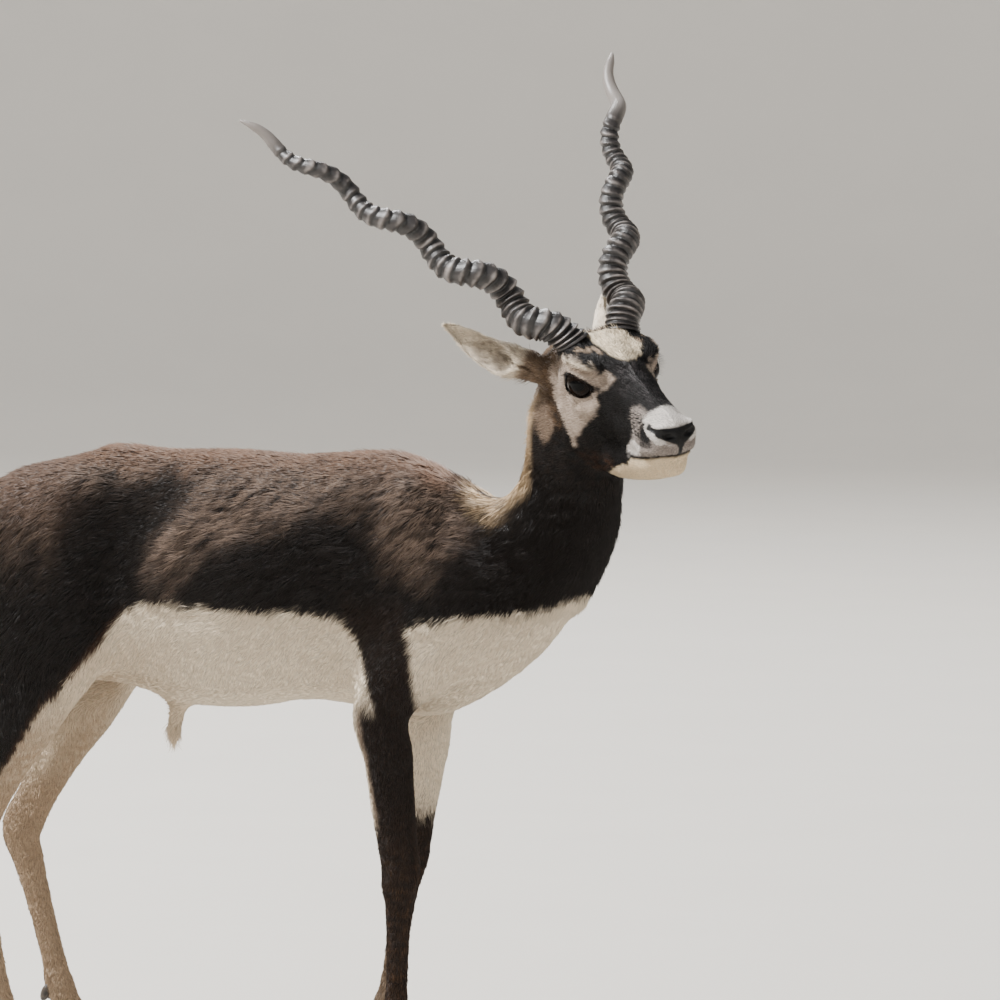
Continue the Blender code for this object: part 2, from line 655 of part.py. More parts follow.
def make_ear(side, name):
    """A cupped leaf: outer and inner grids joined at the rim, solid at the root."""
    frame = head_frame()
    lean = mirrored(EAR_DIRECTION, side).normalized()
    start = mirrored(EAR_BASE, side) + lean * (EAR_STUB + GAP)
    facing = Vector((0.62, side * 0.72, 0.10))
    facing = (facing - lean * facing.dot(lean)).normalized()
    across = lean.cross(facing)
    sag = Vector((0.0, 0.0, -1.0))
    sag = (sag - lean * sag.dot(lean)).normalized()
    table = np.array(EAR_CURL)
    lengths = np.array((0.0, 0.06, 0.13, 0.22, 0.34, 0.48, 0.62, 0.75, 0.86, 0.94, 1.0))
    columns = 10
    bm = bmesh.new()
    outer_grid = []
    inner_grid = []
    for u in lengths:
        radius = np.interp(u, table[:, 0], table[:, 1])
        spread = math.radians(min(174.0, np.interp(u, table[:, 0], table[:, 2])))
        hollow = min(1.0, max(0.0, (u - 0.06) / 0.10))
        inner = max(0.0004, (radius - min(EAR_THICKNESS, radius * 0.6)) * hollow)
        centre = start + lean * (u * (EAR_LENGTH - EAR_STUB)) + sag * (EAR_BOW * math.sin(math.pi * u))
        outer_row = []
        inner_row = []
        for v in np.linspace(-1, 1, columns + 1):
            angle = spread * v
            ray = across * math.sin(angle) - facing * math.cos(angle)
            outer_row.append(frame @ (centre + ray * radius))
            if u == 0.0:
                inner_row.append(frame @ (centre + ray * 0.0004))
            else:
                inner_row.append(frame @ (centre + ray * inner))
        outer_grid.append([bm.verts.new(p) for p in outer_row])
        inner_grid.append([bm.verts.new(p) for p in inner_row])
    rows = len(lengths)
    for i in range(rows - 1):
        for j in range(columns):
            for grid in (outer_grid, inner_grid):
                bm.faces.new((grid[i][j], grid[i][j + 1], grid[i + 1][j + 1], grid[i + 1][j]))
        for j in (0, columns):
            quad = (outer_grid[i][j], outer_grid[i + 1][j], inner_grid[i + 1][j], inner_grid[i][j])
            bm.faces.new(quad)
    for j in range(columns):
        for i in (0, rows - 1):
            quad = (outer_grid[i][j], outer_grid[i][j + 1], inner_grid[i][j + 1], inner_grid[i][j])
            bm.faces.new(quad)
    bmesh.ops.triangulate(bm, faces=bm.faces)
    return object_from(bm, "ear_" + name)


def make_hooves(leg):
    """Two pointed claws under a leg's slanted coronet, flat on the floor."""
    side, *joints = LEG_JOINTS[leg]
    coronet = joints[-1]
    point, normal = cut_planes()[leg + "_coronet"]
    point = point - normal * GAP / 2
    outline = (
        (-0.46, 0.02), (-0.50, 0.30), (-0.44, 0.72), (-0.22, 0.96), (0.04, 1.00),
        (0.26, 0.82), (0.42, 0.50), (0.52, 0.14), (0.46, 0.00), (0.00, 0.00))
    claws = []
    for half, label in ((1, "outer"), (-1, "inner")):
        bm = bmesh.new()
        rings = []
        for share in (0.0, 0.12, 0.45, 0.8, 1.0):
            length = HOOF_LENGTH * (1.0 - 0.30 * share)
            width = HOOF_WIDTH * (0.94 if share == 0.0 else 1.0 - 0.06 * share)
            shift = 0.014 * (1 - share) - 0.001 * share
            ring = []
            for x, y in outline:
                px = coronet[0] + shift + x * length
                py = side * coronet[1] + side * half * (0.0012 + y * width)
                top = point.z - (px - point.x) * normal.x / normal.z
                ring.append(Vector((px, py, top * share)))
            rings.append(ring)
        bridge_rings(bm, rings)
        claws.append(object_from(bm, leg.replace("leg", "hoof") + "_" + label))
    return claws


def add_dewclaws(leg, piece):
    """The two small hind claws above the heels, grown into the leg."""
    side, *joints = LEG_JOINTS[leg]
    fetlock = joints[4]
    for half in (1, -1):
        bm = bmesh.new()
        place = Matrix.Translation((fetlock[0] - 0.0185, side * fetlock[1] + half * 0.0085, 0.076))
        place = place @ Matrix.Rotation(math.radians(25), 4, "Y")
        place = place @ Matrix.Diagonal((*DEWCLAW, 1.0))
        bmesh.ops.create_uvsphere(bm, u_segments=6, v_segments=4, radius=1.0, matrix=place)
        combine(piece, object_from(bm, "dewclaw"), "UNION")


def finish_object(obj, finish):
    color, roughness = FINISHES[finish]
    material = bpy.data.materials.new(obj.name + "_" + finish)
    material.use_nodes = True
    shader = material.node_tree.nodes["Principled BSDF"]
    shader.inputs["Base Color"].default_value = (*color, 1.0)
    shader.inputs["Roughness"].default_value = roughness
    obj.data.materials.clear()
    obj.data.materials.append(material)
    for polygon in obj.data.polygons:
        polygon.material_index = 0


def main():
    clear_scene()
    flesh = make_flesh()
    pieces = {name: make_piece(flesh, name) for name in PIECES}
    bpy.data.objects.remove(flesh)
    detail_head(pieces["head"])
    for leg in LEG_JOINTS:
        add_dewclaws(leg, pieces[leg])
    made = []
    for name, piece in pieces.items():
        pale = name in ("sheath",)
        tan = name in ("tail", "hindleg_left", "hindleg_right")
        made.append((piece, "coat_pale" if pale else "coat_tan" if tan else "coat_dark"))
    for side, name in ((-1, "right"), (1, "left")):
        made.append((eyeball(side, EYE_RADIUS, "eye_" + name), "eye"))
        made.append((make_horn(side, name), "horn"))
        made.append((make_ear(side, name), "coat_pale"))
    for leg in LEG_JOINTS:
        made += [(claw, "hoof") for claw in make_hooves(leg)]
    for obj, finish in made:
        finish_object(obj, finish)
        obj.data.transform(Matrix.Translation(BODY_SHIFT))


main()
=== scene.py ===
"""The looks of a life-size male blackbuck, laid out as a Blender add-on.

All shapes are worked out in the animal's own body frame (X forward, Y to its left, Z up
from the floor, metres), and moved last to the part's centred frame. The head has a frame
of its own: X from the nape to the nose, Y to its left, Z up.
"""

import math
from contextlib import contextmanager

import bmesh
import bpy
import numpy as np
from mathutils import Matrix, Vector


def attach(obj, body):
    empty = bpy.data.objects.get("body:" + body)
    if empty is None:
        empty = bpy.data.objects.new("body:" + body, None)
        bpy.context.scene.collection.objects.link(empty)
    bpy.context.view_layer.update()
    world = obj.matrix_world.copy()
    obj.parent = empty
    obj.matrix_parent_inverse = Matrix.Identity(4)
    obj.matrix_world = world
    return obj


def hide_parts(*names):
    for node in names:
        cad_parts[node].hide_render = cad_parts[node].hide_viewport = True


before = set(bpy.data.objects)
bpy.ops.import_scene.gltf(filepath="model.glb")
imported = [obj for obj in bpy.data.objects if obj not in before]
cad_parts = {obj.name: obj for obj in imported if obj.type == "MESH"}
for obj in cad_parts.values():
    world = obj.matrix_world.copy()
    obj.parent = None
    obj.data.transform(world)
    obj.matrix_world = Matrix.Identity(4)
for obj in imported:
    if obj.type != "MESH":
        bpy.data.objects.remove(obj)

bl_info = {
    "name": "Blackbuck",
    "version": (1, 0, 0),
    "blender": (4, 5, 0),
    "location": "3D View > Sidebar > Blackbuck",
    "description": "Dresses the solids of a standing blackbuck with skin, coat, horns, eyes and hooves",
    "category": "Add Mesh",
}


def metres(table):
    """Turns a table of millimetres into metres."""
    return np.array(table) / 1000


# Places and sizes shared with the solids
BODY_SHIFT = np.array((0.2416, -0.0749, 0.0))
HEAD_ORIGIN = np.array((0.090, 0.0, 0.901))
HEAD_YAW = math.radians(-38.0)
HEAD_PITCH = math.radians(16.0)
HEAD_ROLL = math.radians(10.0)
EYE_RADIUS = 0.0215
EYE_CENTRE = (0.1050, 0.0415, 0.0275)
EYE_AXIS = (0.50, 0.85, 0.12)
LID_THICKNESS = 0.0030
LID_OPENING = (0.0215, 0.0140)
LID_SHIFT = -0.0030
LID_SLOPE = 0.12
ALMOND_POINTS = 48
SOCKET_GAP = 0.0004
HORN_LENGTH = 0.510
HORN_TURNS = 4.2
HORN_PHASE = math.radians(120.0)
HORN_BASE = (0.070, 0.035, 0.066)
HORN_SEAT = (-0.45, 0.33, 0.83)
HORN_WANDER = (0.011, 0.005)
HORN_DIRECTIONS = {"right": (-0.775, -0.477, 0.414), "left": (-0.799, 0.457, 0.391)}
HORN_RADII = (
    (0.00, 0.0215), (0.08, 0.0205), (0.25, 0.0178), (0.45, 0.0150), (0.65, 0.0124),
    (0.80, 0.0100), (0.90, 0.0080), (0.96, 0.0055), (1.00, 0.0014))
# Share of each horn that is ringed, points along one ring and round the horn, and the power of
# the share by which the rings spread towards the tip
HORN_RINGED = {"right": 0.90, "left": 0.76}
RING_STEPS = 12
RING_SIDES = 72
RING_SPACING = 1.22
EAR_BASE = (0.012, 0.052, 0.016)
EAR_DIRECTION = (-0.840, 0.510, 0.255)
EAR_FACING = (0.62, 0.72, 0.10)
EAR_LENGTH = 0.134
# Share of the ear's length, radius of its curl, half angle of the curl in degrees
EAR_CURL = (
    (-0.25, 0.0150, 180.0), (0.00, 0.0190, 180.0), (0.10, 0.0195, 165.0), (0.22, 0.0210, 125.0),
    (0.38, 0.0204, 95.0), (0.55, 0.0187, 80.0), (0.72, 0.0160, 70.0),
    (0.87, 0.0110, 60.0), (0.96, 0.0062, 52.0), (1.00, 0.0028, 45.0))
EAR_BOW = 0.010
HOOF_LENGTH = 0.050
HOOF_WIDTH = 0.0160
CORONET_SLOPE = 0.55
SIDES = ((-1, "right"), (1, "left"))

# The torso from rump to breast: x, z of the widest point, half width,
# rise to the back, drop to the belly
TORSO = metres((
    (-740, 672, 30, 30, 35), (-722, 672, 66, 60, 85), (-680, 665, 94, 94, 130),
    (-620, 660, 106, 121, 155), (-560, 650, 104, 147, 155), (-520, 645, 98, 160, 157),
    (-470, 635, 98, 164, 150), (-400, 625, 112, 174, 158), (-330, 620, 118, 178, 154),
    (-260, 620, 116, 174, 142), (-200, 620, 108, 179, 145), (-140, 620, 98, 181, 155),
    (-80, 620, 92, 167, 155), (-30, 624, 86, 144, 133), (20, 634, 80, 118, 104), (65, 650, 70, 88, 72),
    (100, 662, 56, 58, 58), (122, 668, 34, 30, 30)))
# Centre and half sizes, the left one of each pair
TORSO_LUMPS = metres((
    ((-310, 44, 622), (160, 80, 125)), ((-535, 48, 742), (50, 40, 36)),
    ((-640, 44, 640), (90, 68, 110)), ((-100, 36, 655), (72, 58, 125)),
    ((-612, 12, 512), (26, 18, 34))))
# Rows of a bent body: x, y, z, half width, depth on either side
SHEATH = metres((
    (-420, 0, 520, 22, 26, 26), (-430, 0, 485, 18, 21, 20), (-436, 0, 455, 14, 14, 14),
    (-439, 0, 432, 11, 11, 11), (-441, 0, 420, 6, 6, 6)))
TAIL = metres((
    (-690, 0, 735, 16, 14, 14), (-728, 0, 742, 16, 13, 13), (-758, 0, 722, 15, 10, 10),
    (-769, 0, 680, 14, 9, 9), (-771, 0, 640, 10, 8, 8), (-770, 0, 615, 5, 5, 5)))
NECK = metres((
    (-10, 0, 630, 66, 90, 62), (50, 0, 664, 71, 92, 80), (82, 0, 712, 65, 82, 77),
    (94, -2, 760, 58, 68, 71), (96, -4, 810, 54, 60, 66), (98, -6, 855, 50, 52, 58),
    (104, -8, 900, 40, 38, 42)))

# The skull in the head frame: x from the nape to the nose, z of the widest point,
# half width, rise to the forehead, drop
SKULL = metres((
    (-30, 0, 22, 16, 30), (-18, 0, 34, 26, 45), (0, 4, 43, 36, 56), (30, 10, 50, 46, 62),
    (60, 14, 52, 56, 64), (90, 14, 51, 60, 64), (120, 10, 47, 55, 62), (145, 4, 40, 49, 56),
    (170, 0, 35, 42, 50), (195, -4, 33, 38, 42), (220, -8, 32, 36, 32), (240, -10, 32, 30, 24),
    (254, -12, 27, 19, 18), (262, -13, 13, 9, 10)))
JAW = metres((
    (12, -40, 26, 30, 30), (45, -56, 36, 34, 36), (80, -62, 36, 34, 35), (120, -64, 31, 34, 33),
    (155, -60, 28, 30, 30), (190, -53, 27, 22, 26), (220, -46, 26, 16, 21), (240, -42, 23, 13, 14),
    (250, -40, 17, 11, 10), (256, -38, 8, 6, 6)))
# Centre and half sizes in the head frame, the left one of each pair
HEAD_LUMPS = metres((
    ((100, 40, 52), (36, 21, 17)), ((112, 40, 2), (34, 18, 16)), ((78, 42, 26), (20, 17, 24)),
    ((75, 33, -36), (46, 20, 44)), ((243, 20, 0), (14, 13, 17)), ((222, 18, -20), (33, 18, 17)),
    ((228, 6, -48), (27, 18, 12)), ((62, 30, 56), (24, 24, 18))))

# Joints of each leg in millimetres, y as a distance from the middle
LEG_TABLE = {
    "foreleg_right": (
        (-135, 36, 735), (-30, 70, 605), (-128, 78, 485),
        (-103, 78, 283), (-110, 76, 88), (-78, 76, 36)),
    "foreleg_left": (
        (-135, 36, 735), (-36, 70, 605), (-122, 78, 485),
        (-148, 75, 283), (-176, 72, 88), (-146, 72, 36)),
    "hindleg_right": (
        (-600, 50, 720), (-564, 80, 560), (-605, 80, 455),
        (-688, 72, 292), (-650, 72, 88), (-616, 72, 36)),
    "hindleg_left": (
        (-600, 50, 720), (-555, 80, 560), (-595, 80, 455),
        (-683, 70, 292), (-628, 70, 88), (-594, 70, 36))}
LEG_JOINTS = {name: metres(joints) for name, joints in LEG_TABLE.items()}
# Rows of a leg: joint number to start from, share of the way to the next joint,
# half width, depth ahead and depth behind in millimetres
FORELEG_ROWS = (
    (0, 0, 20, 30, 30), (0, 0.5, 36, 70, 60), (1, 0, 40, 70, 80), (1, 0.45, 38, 55, 72),
    (2, 0, 33, 42, 43), (2, 0.3, 28, 34, 31), (2, 0.6, 23, 29, 29), (2, 0.85, 21, 26, 26),
    (3, 0, 21, 26, 25), (3, 0.12, 20, 22, 24), (3, 0.3, 15, 17, 18), (3, 0.7, 13, 14, 15),
    (3, 0.9, 15, 16, 17), (4, 0, 18, 18, 20), (4, 0.45, 15, 15, 17), (4, 0.8, 18, 18, 19),
    (4, 1.04, 18, 20, 18))
HINDLEG_ROWS = (
    (0, 0, 30, 60, 70), (0, 0.5, 44, 85, 115), (1, 0, 46, 82, 125), (1, 0.55, 42, 62, 105),
    (2, 0, 36, 44, 70), (2, 0.35, 27, 30, 46), (2, 0.7, 20, 24, 30), (2, 0.92, 20, 26, 30),
    (3, 0.03, 20, 24, 27), (3, 0.2, 17, 20, 22), (3, 0.45, 14, 17, 18), (3, 0.8, 14, 16, 17),
    (4, 0, 18, 19, 21), (4, 0.45, 15, 15, 17), (4, 0.8, 18, 18, 19), (4, 1.04, 18, 20, 18))
# Points between two rows of a sweep and round it, and its thinnest half width
SWEEP_STEPS = 8
SWEEP_SIDES = 64
SWEEP_THINNEST = 0.0008
LEFTWARD = np.array((0.0, 1.0, 0.0))
FLESH_NODES = (
    "torso", "neck", "head", "tail", "sheath", "foreleg_right", "foreleg_left",
    "hindleg_right", "hindleg_left", "ear_right", "ear_left")

# Where the coarse skin of the body is joined to the finer skin of the head
NECK_JOIN = ((0.095, -0.004, 0.777), (0.33, 0.0, 0.94))
NECK_GAP = 0.004
# Rounds of smoothing on a grid of 4 mm, round the finished lids, and at the neck's seam
ROUNDS_VOXEL = 0.004
BODY_ROUNDS = 110
HEAD_ROUNDS = 14
LID_ROUNDS = 4
SEAM_ROUNDS = 40
KERATIN_IOR = 1.55
# Direction in the head frame along which the coat of the head takes over from the neck's
HEAD_SPLIT = np.array((0.348, 0.0, 0.937))
# Creases pressed into the head, in millimetres: path in the head frame, half width and depth,
# which is negative for a ridge
HEAD_CREASES = (
    (((187, 25, -45.5), (209, 26.5, -39.5), (236, 28.5, -28.5), (249, 23, -24), (258, 12, -22.5),
      (262, 0, -22)), 1.6, 4.6),
    (((200, 29, -31), (222, 32, -23), (242, 29, -18), (258, 12, -15)), 5, -1.8),
    (((205, 24, -52), (232, 22, -40), (250, 10, -36)), 5, -1.5),
    (((257, 9, 3), (254.5, 16, 3), (248, 22.5, 5), (240, 27.5, 8.5)), 2.6, 7),
    (((255, 18, 8.5), (245, 24.5, 12.5), (234, 28.5, 12.5)), 3.2, -1.8),
    (((250, 25, -2), (240, 30.5, 2), (232, 30.5, 8)), 2.6, -1.3),
    (((262, 0, 4), (263, 0, -8), (262, 0, -20)), 1.5, 2.8),
    (((127, 47, 27), (134, 42, 26), (142, 39, 21)), 2.2, 3.2),
    (((76, 52, 42), (100, 58, 52), (122, 50, 49)), 3.2, 2.2),
    (((66, 48, 46), (96, 56, 62), (122, 50, 59), (138, 36, 50)), 6, -3),
    (((78, 56, 6), (100, 58, -2), (122, 50, 4)), 2.8, 1.5),
    (((110, 45, -40), (145, 38, -34), (180, 32, -20)), 11, 2.5))
# Hollows and swellings of the body in the same way, with the path in the body frame
BODY_FORMS = (
    (((-395, 90, 790), (-440, 100, 740), (-475, 104, 690), (-480, 104, 640), (-470, 100, 600)), 30, 13),
    (((-330, 95, 775), (-378, 112, 722), (-405, 116, 680), (-415, 114, 640), (-395, 112, 605)), 20, -9),
    (((-170, 80, 770), (-155, 95, 710), (-150, 95, 640)), 16, 6),
    (((-110, 70, 770), (-85, 85, 710), (-75, 88, 650)), 30, -5),
    (((-30, 60, 760), (5, 75, 710), (10, 80, 650)), 18, 6),
    (((-330, 105, 590), (-400, 100, 595), (-450, 95, 590)), 18, 5),
    (((-520, 80, 560), (-500, 85, 500), (-520, 80, 450)), 20, 6),
    (((-180, 90, 600), (-165, 88, 560), (-160, 82, 520)), 12, 6),
    (((-560, 85, 740), (-590, 100, 660), (-600, 108, 580)), 30, -4),
    (((-640, 60, 420), (-655, 62, 360), (-665, 62, 320)), 10, 4))


# Frames and small maths

def turn_matrix(axis, angle):
    """A turn about one axis as three rows."""
    return np.array(Matrix.Rotation(angle, 3, axis))


HEAD_TURN = turn_matrix("Z", HEAD_YAW) @ turn_matrix("Y", HEAD_PITCH) @ turn_matrix("X", HEAD_ROLL)


def from_head(points):
    """Head frame to body frame: turned, then moved to the nape."""
    return np.asarray(points) @ HEAD_TURN.T + HEAD_ORIGIN


def to_head(points):
    """Body frame to head frame."""
    return (points - HEAD_ORIGIN) @ HEAD_TURN


def mirrored(point, side):
    return np.array(point) * (1, side, 1)


def side_of(name):
    """-1 for a name on the right, 1 for one on the left."""
    return -1 if name.endswith("right") else 1


def unit(vectors):
    """Each vector over its own length."""
    vectors = np.asarray(vectors, float)
    return vectors / np.maximum(np.linalg.norm(vectors, axis=-1, keepdims=True), 1e-12)


def clipped(values):
    return np.clip(values, 0, 1)


def step(values, low, high):
    """0 below low, 1 above high, and a smooth cubic between; low may be the larger."""
    share = clipped((values - low) / (high - low))
    return share * share * (3 - 2 * share)


def bell(values, width):
    """1 at zero and falling on both sides: exp(-(value / width)^2)."""
    return np.exp(-((values / width) ** 2))


def folded(points):
    """Points with both sides of the animal laid on its left."""
    return np.stack((points[:, 0], np.abs(points[:, 1]), points[:, 2]), 1)


def mix(first, second, share):
    """Blends rows of values by one share for each row."""
    return first + (np.asarray(second) - first) * np.asarray(share)[..., None]


def ripple(points, size, seed):
    """Smooth noise, mostly from -1 to 1: the mean of seven sine waves in random directions."""
    rng = np.random.default_rng(seed)
    waves = unit(rng.normal(size=(7, 3))) * rng.uniform(0.7, 1.6, (7, 1)) * 2 * math.pi / size
    phases = rng.uniform(0, 2 * math.pi, 7)
    return np.sin(points @ waves.T + phases).mean(1) * 2.2


def stroke(points, path, width):
    """Falls from 1 on a path to 0 around it, as exp(-(distance / width)^2), tapered at both ends."""
    path = np.array(path, float)
    best = np.full(len(points), np.inf)
    place = np.zeros(len(points))
    for number, (start, end) in enumerate(zip(path, path[1:])):
        along = end - start
        share = clipped((points - start) @ along / (along @ along))
        distance = np.linalg.norm(points - start - share[:, None] * along, axis=1)
        nearer = distance < best
        best = np.where(nearer, distance, best)
        place = np.where(nearer, (number + share) / (len(path) - 1), place)
    return bell(best, width) * np.sqrt(np.sin(math.pi * np.clip(place, 0.03, 0.97)))


# Surfaces as functions of two parameters

def circle(count):
    """Angles evenly round a circle."""
    return np.linspace(0, 2 * math.pi, count, endpoint=False)


def grid_of(x, y, z):
    return np.stack(np.broadcast_arrays(x, y, z), -1)


def spline(rows, steps):
    """Rows made denser by a Catmull-Rom curve through them, worked out for all spans at once."""
    rows = np.array(rows, float)
    padded = np.vstack((2 * rows[0] - rows[1], rows, 2 * rows[-1] - rows[-2]))
    before, start, end, after = (padded[k:len(padded) - 3 + k, None] for k in range(4))
    t = (np.arange(steps) / steps)[None, :, None]
    fine = 0.5 * (
        2 * start + (end - before) * t
        + (2 * before - 5 * start + 4 * end - after) * t**2
        + (3 * start - before - 3 * end + after) * t**3)
    return np.vstack((fine.reshape(-1, rows.shape[1]), rows[-1]))


def tube(rings):
    """Closed rings of points joined in turn, with a fan over each end onto its middle."""
    count, sides = rings.shape[:2]
    i = np.arange(count - 1)[:, None] * sides
    j = np.arange(sides)[None, :]
    k = (j + 1) % sides
    quads = np.stack((i + j, i + k, i + sides + k, i + sides + j), -1)
    first = count * sides
    last = (count - 1) * sides
    start = np.stack((np.full(sides, first), k[0], j[0]), -1)
    end = np.stack((np.full(sides, first + 1), last + j[0], last + k[0]), -1)
    points = np.vstack((rings.reshape(-1, 3), rings[0].mean(0), rings[-1].mean(0)))
    return points, quads.reshape(-1, 4).tolist() + start.tolist() + end.tolist()


def sweep(rows):
    """An oval profile along a line: centre + cos(v) width side + sin(v) depth ahead."""
    rows = spline(rows, SWEEP_STEPS)
    rows[:, 3:] = np.maximum(rows[:, 3:], SWEEP_THINNEST)
    line = rows[:, :3]
    along = unit(np.gradient(line, axis=0))
    side = unit(LEFTWARD - along * (along @ LEFTWARD)[:, None])
    ahead = np.cross(along, side)
    v = circle(SWEEP_SIDES)
    depth = np.where(np.sin(v) > 0, rows[:, 4:5], rows[:, 5:6]) * np.sin(v)
    across = rows[:, 3:4] * np.cos(v)
    return tube(line[:, None] + across[..., None] * side[:, None] + depth[..., None] * ahead[:, None])


def ellipsoid(centre, half_sizes, turn=None, rings=16, sides=24):
    """sin(u) cos(v), sin(u) sin(v), -cos(u), each times its half size."""
    u = np.linspace(0.05, math.pi - 0.05, rings)[:, None]
    v = circle(sides)
    grid = grid_of(np.sin(u) * np.cos(v), np.sin(u) * np.sin(v), -np.cos(u)) * half_sizes
    if turn is not None:
        grid = grid @ np.array(turn).T
    return tube(grid + np.array(centre))


def placed(surface, place):
    points, faces = surface
    return place(points), faces


def joined(surfaces):
    """Several surfaces as one list of points and one of faces."""
    points = []
    faces = []
    count = 0
    for more, its_faces in surfaces:
        points.append(more)
        faces += [[corner + count for corner in face] for face in its_faces]
        count += len(more)
    return np.vstack(points), faces


def linked(name, data):
    """A new object in the scene that shows a mesh, a light or a camera."""
    obj = bpy.data.objects.new(name, data)
    bpy.context.scene.collection.objects.link(obj)
    return obj


def mesh_object(name, points, faces):
    mesh = bpy.data.meshes.new(name)
    mesh.from_pydata(np.asarray(points).tolist(), [], faces)
    mesh.update()
    mesh.shade_smooth()
    return linked(name, mesh)


def uniform_mesh(name, points, faces):
    """A mesh whose faces all have the same number of corners, set as whole arrays."""
    mesh = bpy.data.meshes.new(name)
    count, corners = faces.shape
    mesh.vertices.add(len(points))
    mesh.vertices.foreach_set("co", points.astype(np.float32).ravel())
    mesh.loops.add(count * corners)
    mesh.loops.foreach_set("vertex_index", faces.astype(np.int32).ravel())
    mesh.polygons.add(count)
    mesh.polygons.foreach_set("loop_start", np.arange(count, dtype=np.int32) * corners)
    mesh.update(calc_edges=True)
    return linked(name, mesh)


def values_of(collection, field, width):
    """One field of a mesh's points, edges, triangles or corners, as rows."""
    kind = np.int32 if field in ("vertices", "loops") else np.float32
    out = np.empty(len(collection) * width, kind)
    collection.foreach_get(field, out)
    out = out.reshape(-1, width)
    return out if kind is np.int32 else out.astype(float)


def points_of(mesh):
    return values_of(mesh.vertices, "co", 3)


def normals_of(mesh):
    return values_of(mesh.vertices, "normal", 3)


def edges_of(mesh):
    return values_of(mesh.edges, "vertices", 2)


def set_points(mesh, points):
    mesh.vertices.foreach_set("co", points.astype(np.float32).ravel())
    mesh.update()


@contextmanager
def edited(mesh):
    """Lends a mesh out as a BMesh and takes the changes back."""
    bm = bmesh.new()
    bm.from_mesh(mesh)
    yield bm
    bm.to_mesh(mesh)
    bm.free()


def outward(obj):
    with edited(obj.data) as bm:
        bmesh.ops.recalc_face_normals(bm, faces=bm.faces)


def modify(obj, kind, **settings):
    """Runs one modifier over an object and keeps what it makes."""
    modifier = obj.modifiers.new(kind.lower(), kind)
    for name, value in settings.items():
        setattr(modifier, name, value)
    graph = bpy.context.evaluated_depsgraph_get()
    mesh = bpy.data.meshes.new_from_object(obj.evaluated_get(graph))
    obj.modifiers.clear()
    old = obj.data
    obj.data = mesh
    bpy.data.meshes.remove(old)


def fuse(obj, voxel):
    """One closed surface round everything in the object."""
    modify(obj, "REMESH", mode="VOXEL", voxel_size=voxel)


def combine(obj, other, operation):
    """Joins or cuts one closed solid with another, which is then gone."""
    modify(obj, "BOOLEAN", operation=operation, solver="MANIFOLD", object=other)
    bpy.data.objects.remove(other)


def thin_out(obj, faces):
    """Merges the flattest triangles until about the given number is left."""
    modify(obj, "DECIMATE", ratio=min(1.0, faces / (2 * len(obj.data.polygons))))


def relax(points, edges, weights, rounds):
    """Each round moves a point half way, times its weight, to the mean of its neighbours."""
    count = np.bincount(edges.ravel(), minlength=len(points))
    pull = 0.5 * np.asarray(weights) / np.maximum(count, 1)
    for _ in range(rounds):
        total = np.stack([
            np.bincount(edges[:, 0], points[edges[:, 1], axis], len(points))
            + np.bincount(edges[:, 1], points[edges[:, 0], axis], len(points))
            for axis in range(3)], 1)
        points = points + pull[:, None] * (total - points * count[:, None])
    return points


def relax_object(obj, weights, rounds):
    mesh = obj.data
    set_points(mesh, relax(points_of(mesh), edges_of(mesh), weights, rounds))


def store(mesh, name, values):
    """Keeps one value or one colour for each point in a named attribute."""
    if np.ndim(values) == 1:
        layer = mesh.attributes.new(name, "FLOAT", "POINT")
        layer.data.foreach_set("value", np.asarray(values, np.float32))
        return
    layer = mesh.attributes.new(name, "FLOAT_COLOR", "POINT")
    rows = np.hstack((values, np.ones((len(values), 1))))
    layer.data.foreach_set("color", rows.astype(np.float32).ravel())


# Materials

def linear(code):
    """An sRGB hex colour as linear red, green and blue."""
    parts = np.array([int(code[k:k + 2], 16) for k in (1, 3, 5)]) / 255
    return np.where(parts <= 0.04045, parts / 12.92, ((parts + 0.055) / 1.055) ** 2.4)


def fill(tree, node, inputs):
    """Gives a node's inputs their values or links."""
    for name, value in inputs.items():
        if isinstance(value, bpy.types.NodeSocket):
            tree.links.new(value, node.inputs[name])
        else:
            node.inputs[name].default_value = value


def add_node(tree, kind, output, inputs=None, **settings):
    """Adds a node, sets its properties and inputs, and returns one of its outputs."""
    node = tree.nodes.new("ShaderNode" + kind)
    for name, value in settings.items():
        setattr(node, name, value)
    fill(tree, node, inputs or {})
    return node.outputs[output]


def stored(tree, name, output="Fac"):
    """What store kept under a name."""
    return add_node(tree, "Attribute", output, attribute_name=name)


def noise(tree, scale, detail):
    """Noise over the object with grains of about one metre over the scale."""
    place = add_node(tree, "TexCoord", "Object")
    return add_node(tree, "TexNoise", "Fac", {"Vector": place, "Scale": scale, "Detail": detail})


def bump(tree, height, strength, distance):
    return add_node(tree, "Bump", "Normal", {"Height": height, "Strength": strength, "Distance": distance})


def blend(tree, factor, first, second):
    """From one colour to another; 6 and 7 are the mix node's colours, and 2 is what it gives."""
    return add_node(tree, "Mix", 2, {"Factor": factor, 6: first, 7: second}, data_type="RGBA")


def ramp(tree, factor, *stops):
    """The colour for a value, through stops of place and colour."""
    node = tree.nodes.new("ShaderNodeValToRGB")
    fill(tree, node, {"Fac": factor})
    elements = node.color_ramp.elements
    for _ in stops[2:]:
        elements.new(0.5)
    for element, (place, colour) in zip(elements, stops):
        element.position = place
        element.color = (*colour, 1.0)
    return node.outputs["Color"]


def new_material(name):
    material = bpy.data.materials.new(name)
    material.use_nodes = True
    return material, material.node_tree


def shaded(material, inputs):
    """The material, once its Principled shader has its inputs."""
    tree = material.node_tree
    fill(tree, tree.nodes["Principled BSDF"], inputs)
    return material


